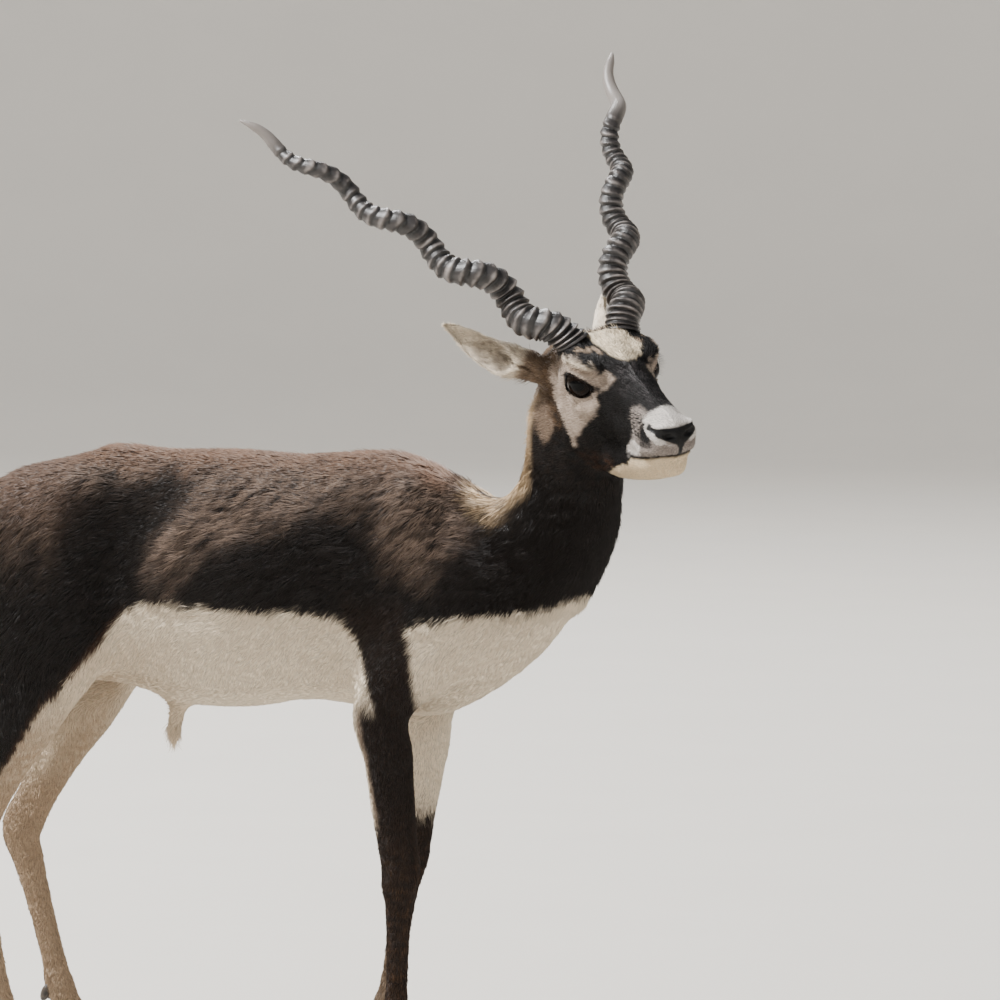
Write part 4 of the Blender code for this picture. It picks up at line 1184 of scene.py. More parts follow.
def coat_colours(points, normals):
    """Linear colour of the coat at each point, and the share of bare nose skin."""
    settings = scene_settings("coat")
    colours = {name: np.array(getattr(settings, name)) for name, *_ in SETTINGS["coat"]}
    face, pad = head_colours(points, colours)
    above = above_neck(points)
    paint = mix(body_colours(points, colours), face, above)
    x, y, z = points.T
    # painted rim light: a pale strip along the back of the neck, where light catches the neck's outline
    nape = step(x - (0.068 + 0.25 * np.maximum(z - 0.80, 0)), 0.003, -0.008) * step(np.abs(y), 0.046, 0.034)
    nape = nape * step(z, 0.738, 0.765) * step(x, -0.012, 0.012) * step(z, 0.885, 0.860)
    nape = nape * clipped(0.9 + 0.3 * ripple(points * (1, 1, 0.3), 0.01, 17))
    paint = mix(paint, colours["nape"], nape)
    ears = ear_colours(points, normals, colours)
    return mix(paint, ears, above * on_ear(to_head(points))), pad * above


# Coat

# Name of each coat piece and its number of tufts, in the order of coat_region's numbers
COAT_PIECES = (
    ("coat_rump", 44000), ("coat_flank", 46000), ("coat_shoulder", 46000), ("coat_neck", 44000),
    ("coat_hindlegs", 36000), ("coat_forelegs", 30000), ("coat_cheeks", 46000),
    ("coat_muzzle", 30000), ("coat_ears", 30000))

COAT_SLOTS = {"coat_hindlegs": "coat_tan", "coat_ears": "coat_pale"}
# Half the width of a tuft's patch, as a share of the whole map
PATCH_HALF = 0.0015


def coat_region(points):
    """Number of the coat piece that each point belongs to."""
    head = to_head(points)
    x, z = points[:, 0], points[:, 2]
    region = np.where(x < -0.44, 0, np.where(x < -0.20, 1, 2))
    region = np.where((x > -0.03) & (z > 0.60), 3, region)
    region = np.where((z < 0.44) & (x < -0.40), 4, region)
    region = np.where((z < 0.46) & (x > -0.40), 5, region)
    above = above_neck(points) > 0.5
    region = np.where(above, 6, region)
    region = np.where(above & (head[:, 0] > 0.150), 7, region)
    return np.where(above & (on_ear(head) > 0.5), 8, region)


def lie_of(points):
    """Which way the hair lies: back along the body, down the neck and legs, nape-wards on the head."""
    x, y, z = points.T
    ones = np.ones_like(x)
    wave = ripple(points, 0.09, 21)
    lie = np.stack((-ones, 0 * x, -0.50 + 0.28 * wave - 0.4 * step(z, 0.70, 0.58)), 1)
    lie = mix(lie, (-0.75, 0.0, -0.85), step(np.abs(x + 0.09), 0.10, 0.03))
    rump = step(x, -0.50, -0.64)
    lie = mix(lie, (-0.55, 0.0, -0.90), rump * step(z, 0.79, 0.70))
    neck = step(x, -0.06, 0.05) * step(z, 0.66, 0.72)
    lie = mix(lie, (-0.32, 0.0, -0.95), neck)
    breast = step(x, 0.00, 0.06) * step(z, 0.68, 0.62)
    lie = mix(lie, (-0.55, 0.0, -0.80), breast)
    legs = step(z, 0.58, 0.48)
    lie = mix(lie, (-0.12, 0.0, -1.0), legs)
    belly = step(z, 0.53, 0.50) * step(np.abs(y), 0.075, 0.05) * step(z, 0.44, 0.47)
    lie = mix(lie, (-1.0, 0.0, -0.1), belly)
    head = to_head(points)
    face = np.stack((-ones, 0.35 * np.sign(head[:, 1]) * step(head[:, 0], 0.06, 0.15), -0.25 * ones), 1)
    below = step(head[:, 2], -0.01, -0.05)
    face = mix(face, (-1.0, 0.0, -0.55), below)
    face = mix(face, ear_axes(head)[1], on_ear(head))
    return unit(mix(lie, face @ HEAD_TURN.T, above_neck(points)))


# Length, width and lift in radians of a tuft, and how much less each is on the belly
HAIR = {
    "body": (0.0165, 0.0021, 0.19), "legs": (0.0085, 0.0013, 0.13), "less_on_belly": (0.0050, 0.0007, 0.08),
    "face": (0.0062, 0.00095, 0.20), "muzzle": (0.0036, 0.00065, 0.12)}
EAR_HAIR_LENGTH = 0.0075
FAN_HAIR_EXTRA = 0.006


def tuft_sizes(points):
    """Length, width and lift of the tufts: long on the body, short on legs, shortest on the face."""
    x, _, z = points.T
    head = to_head(points)
    hair = {name: np.array(sizes) for name, sizes in HAIR.items()}
    legs = step(z, 0.55, 0.42)
    sizes = mix(hair["body"], hair["legs"], legs)
    sizes[:, 0] += FAN_HAIR_EXTRA * step(x, -0.05, 0.0) * step(z, 0.72, 0.75) * step(x, 0.06, 0.03)
    belly = step(along_curve(x, WHITE_LINE) - z, 0.004, 0.020) * (1 - legs) * step(x, -0.60, -0.50)
    sizes -= hair["less_on_belly"] * belly[:, None]
    face = mix(hair["face"], hair["muzzle"], step(head[:, 0], 0.150, 0.215))
    eye = np.linalg.norm(folded(head) - EYE_CENTRE, axis=1)
    face[:, 0] *= 0.62 + 0.38 * step(eye, 0.026, 0.045)
    face[:, 0] += (EAR_HAIR_LENGTH - face[:, 0]) * on_ear(head)
    return mix(sizes, face, above_neck(points)).T


def skin_sampler(skin):
    """Triangles of the skin as arrays: corners, normals, places on the unwrap, areas, regions."""
    mesh = skin.data
    mesh.calc_loop_triangles()
    corners = values_of(mesh.loop_triangles, "vertices", 3)
    loops = values_of(mesh.loop_triangles, "loops", 3)
    points = points_of(mesh)
    normals = normals_of(mesh)
    places = values_of(mesh.uv_layers.active.uv, "vector", 2)
    spans = points[corners]
    areas = np.linalg.norm(np.cross(spans[:, 1] - spans[:, 0], spans[:, 2] - spans[:, 0]), axis=1) / 2
    regions = coat_region(spans.mean(1))
    pad = coat_colours(spans.mean(1), normals[corners[:, 0]])[1]
    areas = areas * (1 - step(pad, 0.2, 0.6))
    return spans, normals[corners], places[loops], areas, regions


def scatter(sampler, chosen, count, rng):
    """Random spots spread evenly by area over the chosen triangles."""
    spans, normals, places, areas, _ = sampler
    index = np.flatnonzero(chosen)
    steps = np.cumsum(areas[index])
    index = index[np.searchsorted(steps, rng.uniform(0, steps[-1], count))]
    share = rng.uniform(0, 1, (count, 2))
    share = np.where(share.sum(1, keepdims=True) > 1, 1 - share, share)
    share = np.stack((1 - share.sum(1), share[:, 0], share[:, 1]), 1)[..., None]
    roots = (spans[index] * share).sum(1)
    return roots, unit((normals[index] * share).sum(1)), (places[index] * share).sum(1)


def set_patches(mesh, name, places, faces, corners):
    """A map in which every tuft is a patch at its root's place on the skin's map."""
    offsets = np.zeros((corners, 2))
    offsets[0] = (-PATCH_HALF, -PATCH_HALF)
    offsets[1] = (PATCH_HALF, -PATCH_HALF)
    offsets[-1] = (0.0, PATCH_HALF)
    layer = mesh.uv_layers.new(name=name)
    corner = faces.ravel() % corners
    tuft = faces.ravel() // corners
    layer.uv.foreach_set("vector", (places[tuft] + offsets[corner]).astype(np.float32).ravel())


def laid_down(roots, normals, turn):
    """Two directions square to the normal: along the coat's lie, turned by an angle, and beside it."""
    lie = lie_of(roots)
    along = unit(lie - normals * (lie * normals).sum(1, keepdims=True))
    side = np.cross(normals, along)
    cos, sin = np.cos(turn)[:, None], np.sin(turn)[:, None]
    return along * cos + side * sin, side * cos - along * sin


def make_tufts(name, roots, normals, places, settings, rng):
    """Closed slivers of four points: root left and right, root ridge, and the tip.

    A tuft of length L lies along t, the lie of the coat made square to the normal n, turned
    a little at random, and its tip stands at root + L (t cos(lift) + n sin(lift)).
    """
    count = len(roots)
    length, width, lift = tuft_sizes(roots)
    colour, _ = coat_colours(roots, normals)
    turn = rng.normal(0, settings.mess, count) + 0.20 * ripple(roots, 0.030, 31)
    along, side = laid_down(roots, normals, turn)
    clump = ripple(roots, 0.016, 33)
    length = length * settings.length * rng.uniform(0.75, 1.25, count) * (1 + 0.12 * clump)
    width = width * rng.uniform(0.75, 1.25, count)
    lift = lift * settings.lift * (1 + 0.35 * clump + rng.normal(0, 0.22, count))
    half = (width / 2)[:, None]
    sunk = roots - normals * (width * 0.35)[:, None]
    tip = roots + along * (length * np.cos(lift))[:, None] + normals * (length * np.sin(lift))[:, None]
    ridge = roots + normals * (width * 0.45)[:, None] + along * (length * 0.10)[:, None]
    points = np.stack((sunk - side * half, sunk + side * half, ridge, tip), 1).reshape(-1, 3)
    sliver = np.array(((0, 1, 3), (0, 3, 2), (1, 2, 3), (0, 2, 1)))
    faces = (np.arange(count)[:, None, None] * 4 + sliver).reshape(-1, 3)
    coat = uniform_mesh(name, points, faces)
    # painted shade and highlight: a tuft's root corners are painted darker, as shade among the hairs, and
    # dark hair is painted much paler at the tip, partly its brown tip and partly a painted highlight; white
    # hair is nearly even all along
    dark = step(colour.max(1), 0.45, 0.04)[:, None]
    tone = np.exp(rng.normal(0, settings.variety, count))[:, None] ** (0.4 + 0.6 * dark)
    shade = np.array((0.80, 0.80, 0.95, 1.06)) * (1 - dark) + np.array((0.42, 0.42, 0.80, 1.75)) * dark
    paint = (colour * tone)[:, None] * shade[..., None]
    store(coat.data, "coat", clipped(paint).reshape(-1, 3))
    set_patches(coat.data, "OFBake", places, faces, 4)
    return coat


def coat_material(settings):
    """Short guard hair: each hair has a dull side and a narrow pale gloss along its length."""
    material, tree = new_material("guard_hair")
    return shaded(material, {
        "Base Color": stored(tree, "coat", "Color"), "Roughness": settings.gloss_roughness,
        "IOR": KERATIN_IOR, "Specular IOR Level": 0.22})


def skin_material():
    """Skin seen between the hairs, with bare, pebbled and moist skin on the nose."""
    material, tree = new_material("skin_under_coat")
    bare = stored(tree, "bare")
    # hair about 0.8 mm wide between the tufts, pebbles of 1.2 mm on the nose
    hair = noise(tree, 1200.0, 2.0)
    pebble = add_node(tree, "TexVoronoi", "Distance", {
        "Vector": add_node(tree, "TexCoord", "Object"), "Scale": 800.0}, feature="SMOOTH_F1")
    height = add_node(tree, "Mix", 0, {"Factor": bare, 2: hair, 3: pebble})
    return shaded(material, {
        "Base Color": stored(tree, "coat", "Color"), "Normal": bump(tree, height, 0.5, 0.0006),
        "Roughness": add_node(tree, "MapRange", 0, {"Value": bare, "To Min": 0.75, "To Max": 0.50}),
        "Specular IOR Level": 0.25})


def unwrap(obj):
    """Flattens the skin's own surface in islands of like direction."""
    bpy.context.view_layer.objects.active = obj
    obj.select_set(True)
    bpy.ops.object.mode_set(mode="EDIT")
    bpy.ops.mesh.select_all(action="SELECT")
    bpy.ops.uv.smart_project(angle_limit=math.radians(66), island_margin=0.004)
    bpy.ops.object.mode_set(mode="OBJECT")
    obj.select_set(False)


# Long hair, lashes

# Where longer hair grows: name, number, frame and middle and half sizes of the patch,
# length, width, lift and how much the lock sinks towards its tip
LOCK_PATCHES = (
    ("tail", 700, "body", (-0.765, 0.0, 0.660), (0.030, 0.03, 0.060), 0.034, 0.0022, 0.20, 0.25),
    ("sheath", 160, "body", (-0.440, 0.0, 0.425), (0.020, 0.02, 0.025), 0.020, 0.0013, 0.25, 0.2),
    ("fan", 1300, "body", (0.000, 0.0, 0.745), (0.050, 0.045, 0.045), 0.032, 0.0022, 0.30, 0.35),
    ("nape", 900, "body", (0.045, 0.0, 0.815), (0.035, 0.040, 0.070), 0.018, 0.0015, 0.25, 0.2),
    ("crown", 260, "head", (0.060, 0.0, 0.070), (0.030, 0.040, 0.020), 0.012, 0.0010, 0.55, 0.1),
    ("ear_tuft_right", 420, "head", (-0.002, -0.07, 0.018), (0.03, 0.022, 0.022), 0.017, 0.0009, 0.5, 0.2),
    ("ear_tuft_left", 420, "head", (-0.002, 0.07, 0.018), (0.03, 0.022, 0.022), 0.017, 0.0009, 0.5, 0.2),
)


def make_locks(name, roots, normals, places, sizes, rng):
    """Bent locks of three sides: root + s L along + s^2 L droop, radius w (1 - s)^0.7 / 2."""
    length, width, lift, droop = sizes
    count = len(roots)
    colour, _ = coat_colours(roots, normals)
    along, _ = laid_down(roots, normals, rng.normal(0, 0.22, count))
    angle = (lift * rng.uniform(0.5, 1.4, count))[:, None]
    heading = along * np.cos(angle) + normals * np.sin(angle)
    side = unit(np.cross(normals, heading))
    upward = np.cross(heading, side)
    long = (length * rng.uniform(0.6, 1.2, count))[:, None, None]
    s = np.array((0.0, 0.3, 0.6, 0.85, 1.0))[None, :, None]
    curl = side * rng.normal(0, 0.12, count)[:, None] - normals * droop * np.sin(angle)
    line = roots[:, None] - normals[:, None] * 0.0008 + long * (s * heading[:, None] + s**2 * curl[:, None])
    radius = width * rng.uniform(0.7, 1.2, count)[:, None, None, None] / 2
    radius = radius * ((1 - s[:, :4, :, None]) ** 0.7 * 0.95 + 0.05)
    v = np.radians((90.0, 210.0, 330.0))
    ring = side[:, None, None] * np.cos(v)[:, None] + upward[:, None, None] * 0.6 * np.sin(v)[:, None]
    rings = (line[:, :4, None] + ring * radius).reshape(count, 12, 3)
    points = np.concatenate((rings, line[:, 4:5]), axis=1).reshape(-1, 3)
    faces = [(0, 2, 1)]
    for level in range(3):
        for corner in range(3):
            a, b = level * 3 + corner, level * 3 + (corner + 1) % 3
            faces += [(a, b, b + 3), (a, b + 3, a + 3)]
    faces += [(9, 10, 12), (10, 11, 12), (11, 9, 12)]
    faces = (np.arange(count)[:, None, None] * 13 + np.array(faces)).reshape(-1, 3)
    locks = uniform_mesh(name, points, faces)
    # painted shade: each lock is painted darker at its root, as shade among the hairs, and a little paler
    # towards the tip
    shade = np.concatenate((np.repeat((0.62, 0.85, 1.0, 1.1), 3), (1.15,)))
    tone = np.exp(rng.normal(0, 0.12, count))[:, None]
    paint = (colour * tone)[:, None] * shade[None, :, None]
    store(locks.data, "coat", clipped(paint).reshape(-1, 3))
    set_patches(locks.data, "OFBake", places, faces, 13)
    return locks


def patch_of(points, frame_name, middle, half_sizes):
    """1 for points inside an oval patch."""
    local = to_head(points) if frame_name == "head" else points
    return (((local - middle) / half_sizes) ** 2).sum(1) < 1


def make_lashes(side, name):
    """Upper lashes: thin cones fanned along the edge of the lid, curving down and out."""
    rng = np.random.default_rng(7)
    count = 46
    v = np.linspace(math.radians(12), math.radians(168), count)
    rim = almond(1.0, 361)[np.degrees(v).astype(int)]
    depth = np.sqrt(np.maximum((EYE_RADIUS + 0.0022) ** 2 - (rim**2).sum(1), 0))
    root = np.column_stack((rim, depth))
    out = unit(np.column_stack((rim[:, 0] * 22, rim[:, 1] * 20 + 0.15, np.full(count, 0.80))))
    out += rng.normal(0, 0.05, out.shape)
    long = rng.uniform(0.007, 0.010, count)[:, None, None]
    s = np.linspace(0, 1, 7)[None, :, None]
    line = root[:, None] + long * (s * out[:, None] + s**2 * np.array((0.0, -0.30, 0.10)))
    radius = 0.00026 * (1 - 0.9 * s[..., None])
    w = np.radians((0.0, 120.0, 240.0))
    ring = np.stack((np.cos(w), np.sin(w), 0 * w), 1)
    rings = line[:, :, None] + ring * radius
    surfaces = [tube(strand) for strand in rings]
    return eye_solid(side, "lashes_" + name, joined(surfaces))


def make_dewclaws():
    """Two small blunt claws behind each fetlock, as drop-shaped ovals leaning back."""
    surfaces = []
    turn = turn_matrix("Y", math.radians(24))
    for name, joints in LEG_JOINTS.items():
        fetlock = mirrored(joints[-2], side_of(name))
        for lean in (-1, 1):
            middle = fetlock + (-0.0175, lean * 0.0095, -0.006)
            surfaces.append(ellipsoid(middle, (0.0062, 0.0055, 0.0125), turn, 18, 20))
    return mesh_object("dewclaws", *joined(surfaces))


# Horns

def horn_line(side, shares):
    """Straight lean of the horn plus a circle of slowly shrinking radius, in the head frame."""
    name = "right" if side < 0 else "left"
    lean = unit(HORN_DIRECTIONS[name])
    first = unit(np.cross(lean, (0, 1, 0)))
    second = np.cross(lean, first)
    near, far = HORN_WANDER
    fade = clipped((1 - shares) / 0.08) ** 0.5
    wander = (near + (far - near) * shares) * step(shares, 0, 0.14) * fade
    angle = side * (HORN_PHASE + 2 * math.pi * HORN_TURNS * shares)
    start = mirrored(HORN_BASE, side) + unit(mirrored(HORN_SEAT, side)) * 0.0003
    line = start + shares[:, None] * HORN_LENGTH * lean
    line += (wander * np.cos(angle))[:, None] * first
    line += (wander * np.sin(angle))[:, None] * second
    return line


def make_horn(side, name, settings):
    """Rings of radius R(s) (1 + rise crest(phase)) carried along the corkscrew line.

    The phase counts growth rings, closer at the base, and leans with the angle round the
    horn, so that each ring dips towards the front; it rises steeply on the side of the
    base and falls away slowly towards the tip, with a narrow groove before the next.
    """
    ringed = HORN_RINGED[name]
    count = settings.rings
    turns = np.arange(count * RING_STEPS + 1) / RING_STEPS
    shares = np.concatenate((ringed * (turns / count) ** RING_SPACING, np.linspace(ringed, 1.0, 40)[1:]))
    line = horn_line(side, shares)
    along = unit(np.gradient(line, axis=0))
    settled = clipped(shares / 0.10)[:, None]
    along = unit(unit(mirrored(HORN_SEAT, side)) * (1 - settled) + along * settled)
    across = unit(np.cross(along, (0.0, 0.0, 1.0)))
    upward = np.cross(across, along)
    v = circle(RING_SIDES)
    number = count * (np.minimum(shares, ringed) / ringed) ** (1 / RING_SPACING)
    rng = np.random.default_rng(5 + side)
    wobble = rng.normal(size=count + 3)
    height = 1 + 0.22 * np.interp(number, np.arange(count + 3), wobble)[:, None]
    lean = 0.32 * np.sin(v + 0.8 * side) + 0.10 * np.sin(2 * v + number[:, None] * 0.7)
    phase = number[:, None] + lean * step(number, 0.2, 2.0)[:, None]
    part = phase - np.floor(phase)
    crest = np.where(part < 0.30, (part / 0.30) ** 0.7, ((1 - part) / 0.70) ** 0.8)
    fade = (step(number, 0.15, 1.2) * step(shares, ringed, ringed - 0.05))[:, None]
    radius = along_curve(shares, HORN_RADII)[:, None]
    rough = 0.006 * np.sin(v * 23 + 3 * np.sin(number[:, None])) + 0.004 * np.sin(v * 41 + 1.7)
    swell = settings.groove * fade * height * (crest - 0.75) + rough
    rings = radius * (1 + swell)
    grid = line[:, None] + (rings * np.cos(v))[..., None] * across[:, None]
    grid += (rings * np.sin(v))[..., None] * upward[:, None]
    points, faces = tube(grid)
    horn = mesh_object("horn_" + name + "_ringed", from_head(points), faces)
    # painted light: the crest profile sets the painted highlight on each ring and the painted shade in its
    # groove
    painted_ring_light = np.where(fade > 0, crest * fade + (1 - fade) * 0.45, 0.5)
    tip = np.broadcast_to(step(shares, ringed - 0.06, ringed + 0.05)[:, None], painted_ring_light.shape)
    for label, values in (("crest", painted_ring_light), ("tip", tip)):
        store(horn.data, label, np.concatenate((values.ravel(), values[0, :1], values[-1, :1])))
    return horn


def horn_material(settings):
    """Horn keratin: dull grey-black in the grooves, worn grey and slightly shiny on the rings."""
    material, tree = new_material("horn_keratin")
    painted_ring_light = add_node(
        tree, "Math", 0, {0: stored(tree, "crest"), 1: noise(tree, 60.0, 2.0)}, operation="MULTIPLY")
    grey = ramp(
        tree, painted_ring_light, (0.12, settings.groove_colour), (0.34, settings.horn_colour),
        (0.70, settings.crest_colour))
    fibres = noise(tree, 650.0, 3.0)
    return shaded(material, {
        "Base Color": blend(tree, stored(tree, "tip"), grey, (*settings.tip_colour, 1.0)),
        "Roughness": 0.46, "IOR": KERATIN_IOR, "Normal": bump(tree, fibres, 0.35, 0.0006)})


# Eyes

def make_eye(side, name):
    """A globe that swells a little over the cornea: radius R (0.985 + 0.012 exp(-(u / 0.45)^2))."""
    u = np.linspace(0.02, math.pi - 0.02, 72)[:, None]
    v = circle(96)
    radius = EYE_RADIUS * (0.985 + 0.012 * bell(u, 0.45))
    points, faces = tube(grid_of(
        radius * np.sin(u) * np.cos(v), radius * np.sin(u) * np.sin(v), radius * np.cos(u)))
    eye = eye_solid(side, "eye_" + name + "_wet", (points, faces))
    store(eye.data, "across", np.clip(points[:, 0] / EYE_RADIUS, -1, 1))
    store(eye.data, "upward", np.clip(points[:, 1] / EYE_RADIUS, -1, 1))
    return eye


def eye_material(settings):
    """A wet eye: a dark brown iris with a wide level pupil under a clear, very smooth film."""
    material, tree = new_material("wet_eye")
    spot = add_node(tree, "CombineXYZ", 0, {"X": stored(tree, "across"), "Y": stored(tree, "upward")})
    wide = add_node(tree, "VectorMath", 0, {0: spot, 1: (1.9, 3.3, 1.0)}, operation="MULTIPLY")
    pupil = add_node(tree, "VectorMath", "Value", {0: wide}, operation="LENGTH")
    hole = add_node(tree, "MapRange", 0, {"Value": pupil, "From Min": 1.1, "From Max": 0.85})
    out = add_node(tree, "VectorMath", "Value", {0: spot}, operation="LENGTH")
    rim = add_node(tree, "MapRange", 0, {"Value": out, "From Min": 0.55, "From Max": 0.74})
    iris = blend(tree, rim, (*settings.iris_colour, 1.0), (*settings.rim_colour, 1.0))
    return shaded(material, {
        "Base Color": blend(tree, hole, iris, (0.002, 0.002, 0.002, 1.0)),
        "Roughness": 0.08, "IOR": 1.34, "Specular IOR Level": 0.15})


def lash_material():
    return shaded(new_material("black_lash_hair")[0], {
        "Base Color": (0.010, 0.008, 0.007, 1.0), "Roughness": 0.45})


# Hooves and dewclaws

def hoof_surface(leg, half):
    """A pointed claw: an outline from heel to toe, shrinking from the sole up to the coronet."""
    side = side_of(leg)
    coronet = LEG_JOINTS[leg][-1]
    outline = spline((
        (-0.46, 0.02), (-0.50, 0.30), (-0.44, 0.72), (-0.22, 0.96), (0.04, 1.00),
        (0.26, 0.82), (0.42, 0.50), (0.52, 0.14), (0.46, 0.00), (0.00, 0.00), (-0.46, 0.02)), 5)[:-1]
    share = np.concatenate(((0.0, 0.02, 0.06), np.linspace(0.1, 0.97, 26), (1.0,)))[:, None]
    x, y = outline[None, :, 0], outline[None, :, 1]
    ridges = 1 + 0.006 * np.sin(share * 60) * step(share, 0.1, 0.3)
    length = HOOF_LENGTH * (1.0 - 0.30 * share) * ridges * (0.985 + 0.015 * step(share, 0, 0.05))
    width = HOOF_WIDTH * (0.94 + 0.06 * step(share, 0, 0.12) - 0.06 * share)
    shift = 0.014 * (1 - share) - 0.001 * share
    px = coronet[0] + shift + x * length
    py = side * coronet[1] + side * half * (0.0012 + y * width)
    top = coronet[2] - 0.0004 + (px - coronet[0]) * CORONET_SLOPE
    return tube(grid_of(px, py, top * share))


def hoof_material(settings):
    """Hoof horn: smooth black keratin, dusty at the sole, with fine growth lines."""
    material, tree = new_material("hoof_keratin")
    # growth lines about 1.5 mm apart
    lines = add_node(tree, "TexWave", "Fac", {
        "Vector": add_node(tree, "TexCoord", "Object"), "Scale": 105.0, "Distortion": 2.0, "Detail": 2.0},
        bands_direction="Z")
    dusty = ramp(tree, noise(tree, 120.0, 4.0), (0.35, settings.hoof_colour), (0.75, settings.dust_colour))
    return shaded(material, {
        "Base Color": dusty, "Roughness": 0.42, "Normal": bump(tree, lines, 0.3, 0.0005)})


# Stage

# Name, place, size and share of the key light's power
LIGHTS = (
    ("key", (-6.0, -3.2, 8.8), 1.6, 1.0), ("fill", (5.0, -8.0, 4.0), 4.0, 0.08),
    ("rim", (-4.0, 7.0, 7.0), 2.5, 0.25))
LIGHT_AIM = Vector((-0.1, -0.1, 0.7))
FLOOR_RADIUS = 12.0
BEND_RADIUS = 4.0


def place_looking(obj, place, direction):
    obj.location = place
    obj.rotation_mode = "QUATERNION"
    obj.rotation_quaternion = direction.to_track_quat("-Z", "Y")


def make_floor(settings):
    """A round pale floor, flat in the middle, that bends up through a quarter circle into a wall."""
    bend = np.linspace(0, math.pi / 2, 17)[1:]
    wall = FLOOR_RADIUS + BEND_RADIUS
    radius = np.concatenate((
        np.linspace(0.5, FLOOR_RADIUS, 12), FLOOR_RADIUS + BEND_RADIUS * np.sin(bend), (wall, wall)))
    height = np.concatenate((np.zeros(12), BEND_RADIUS - BEND_RADIUS * np.cos(bend), (6.0, 9.0)))
    v = circle(96)
    points, faces = tube(grid_of(radius[:, None] * np.cos(v), radius[:, None] * np.sin(v), height[:, None]))
    floor = mesh_object("floor", points[:-1], [face for face in faces if len(points) - 1 not in face])
    material, tree = new_material("matt_floor")
    tones = [(place, np.array(settings.floor_colour) * tone) for place, tone in ((0.0, 0.97), (1.0, 1.03))]
    shaded(material, {"Base Color": ramp(tree, noise(tree, 3.0, 3.0), *tones), "Roughness": 0.9})
    floor.data.materials.append(material)


def make_light(settings):
    """Even light from all sides, and the soft lamps."""
    world = bpy.data.worlds.new("studio_air")
    world.use_nodes = True
    fill(world.node_tree, world.node_tree.nodes["Background"], {
        "Color": (*settings.air_colour, 1.0), "Strength": settings.air_strength})
    bpy.context.scene.world = world
    for name, place, size, share in LIGHTS:
        lamp = bpy.data.lights.new(name, "AREA")
        lamp.shape = "DISK"
        lamp.size = size
        lamp.energy = settings.key_power * share
        place_looking(linked(name, lamp), place, LIGHT_AIM - Vector(place))


def make_camera(settings):
    """The photo's camera: its picture is as wide as the field at the given distance."""
    azimuth, elevation = settings.azimuth, settings.elevation
    back = Vector((
        math.sin(azimuth) * math.cos(elevation), -math.cos(azimuth) * math.cos(elevation),
        math.sin(elevation)))
    lens = bpy.data.cameras.new("photo_camera")
    lens.sensor_width = 36.0
    lens.lens = lens.sensor_width * settings.distance / settings.field
    lens.clip_end = 200.0
    camera = linked("photo_camera", lens)
    target = Vector(BODY_SHIFT) + Vector((0.0, 0.0, settings.target_height))
    place_looking(camera, target + back * settings.distance, -back)
    bpy.context.scene.camera = camera


# Steps, each of them one operator

def make_stage():
    """Floor, soft light and the photo camera"""
    settings = scene_settings("stage")
    make_floor(settings)
    make_light(settings)
    make_camera(settings)


def dress_skin():
    """One skin over the whole animal"""
    finish_piece(make_skin(scene_settings("skin")), skin_material(), "coat_dark", *FLESH_NODES)


def dress_coat():
    """Tufts of hair over the whole skin, and longer locks where it is long"""
    settings = scene_settings("tufts")
    material = coat_material(settings)
    skin = bpy.data.objects["skin"]
    skin.data.transform(Matrix.Translation(-BODY_SHIFT))
    sampler = skin_sampler(skin)
    spans, *_, regions = sampler
    skin.data.transform(Matrix.Translation(BODY_SHIFT))
    for number, (name, count) in enumerate(COAT_PIECES):
        rng = np.random.default_rng(100 + number)
        spots = scatter(sampler, regions == number, count, rng)
        coat = make_tufts(name, *spots, settings, rng)
        finish_piece(coat, material, COAT_SLOTS.get(name, "coat_dark"))
    middles = spans.mean(1)
    for number, (name, count, frame_name, middle, half, *sizes) in enumerate(LOCK_PATCHES):
        rng = np.random.default_rng(300 + number)
        spots = scatter(sampler, patch_of(middles, frame_name, middle, half), count, rng)
        finish_piece(make_locks("locks_" + name, *spots, sizes, rng), material, "coat_pale")


def dress_eyes():
    """Both wet, dark eyes and their lashes"""
    material = eye_material(scene_settings("eyes"))
    hair = lash_material()
    for side, name in SIDES:
        finish_piece(make_eye(side, name), material, "eye", "eye_" + name)
        finish_piece(make_lashes(side, name), hair, "coat_dark")


def dress_horns():
    """Both ringed corkscrew horns"""
    settings = scene_settings("horns")
    material = horn_material(settings)
    for side, name in SIDES:
        finish_piece(make_horn(side, name, settings), material, "horn", "horn_" + name)


def dress_hooves():
    """The eight claws that the animal stands on, and the dewclaws"""
    material = hoof_material(scene_settings("hooves"))
    for leg in LEG_JOINTS:
        for half, label in ((1, "outer"), (-1, "inner")):
            node = leg.replace("leg", "hoof") + "_" + label
            claw = mesh_object(node + "_claw", *hoof_surface(leg, half))
            outward(claw)
            finish_piece(claw, material, "hoof", node)
    finish_piece(make_dewclaws(), material, "hoof")


STEPS = {
    "stage": make_stage, "skin": dress_skin, "coat": dress_coat, "eyes": dress_eyes,
    "horns": dress_horns, "hooves": dress_hooves}


# Settings

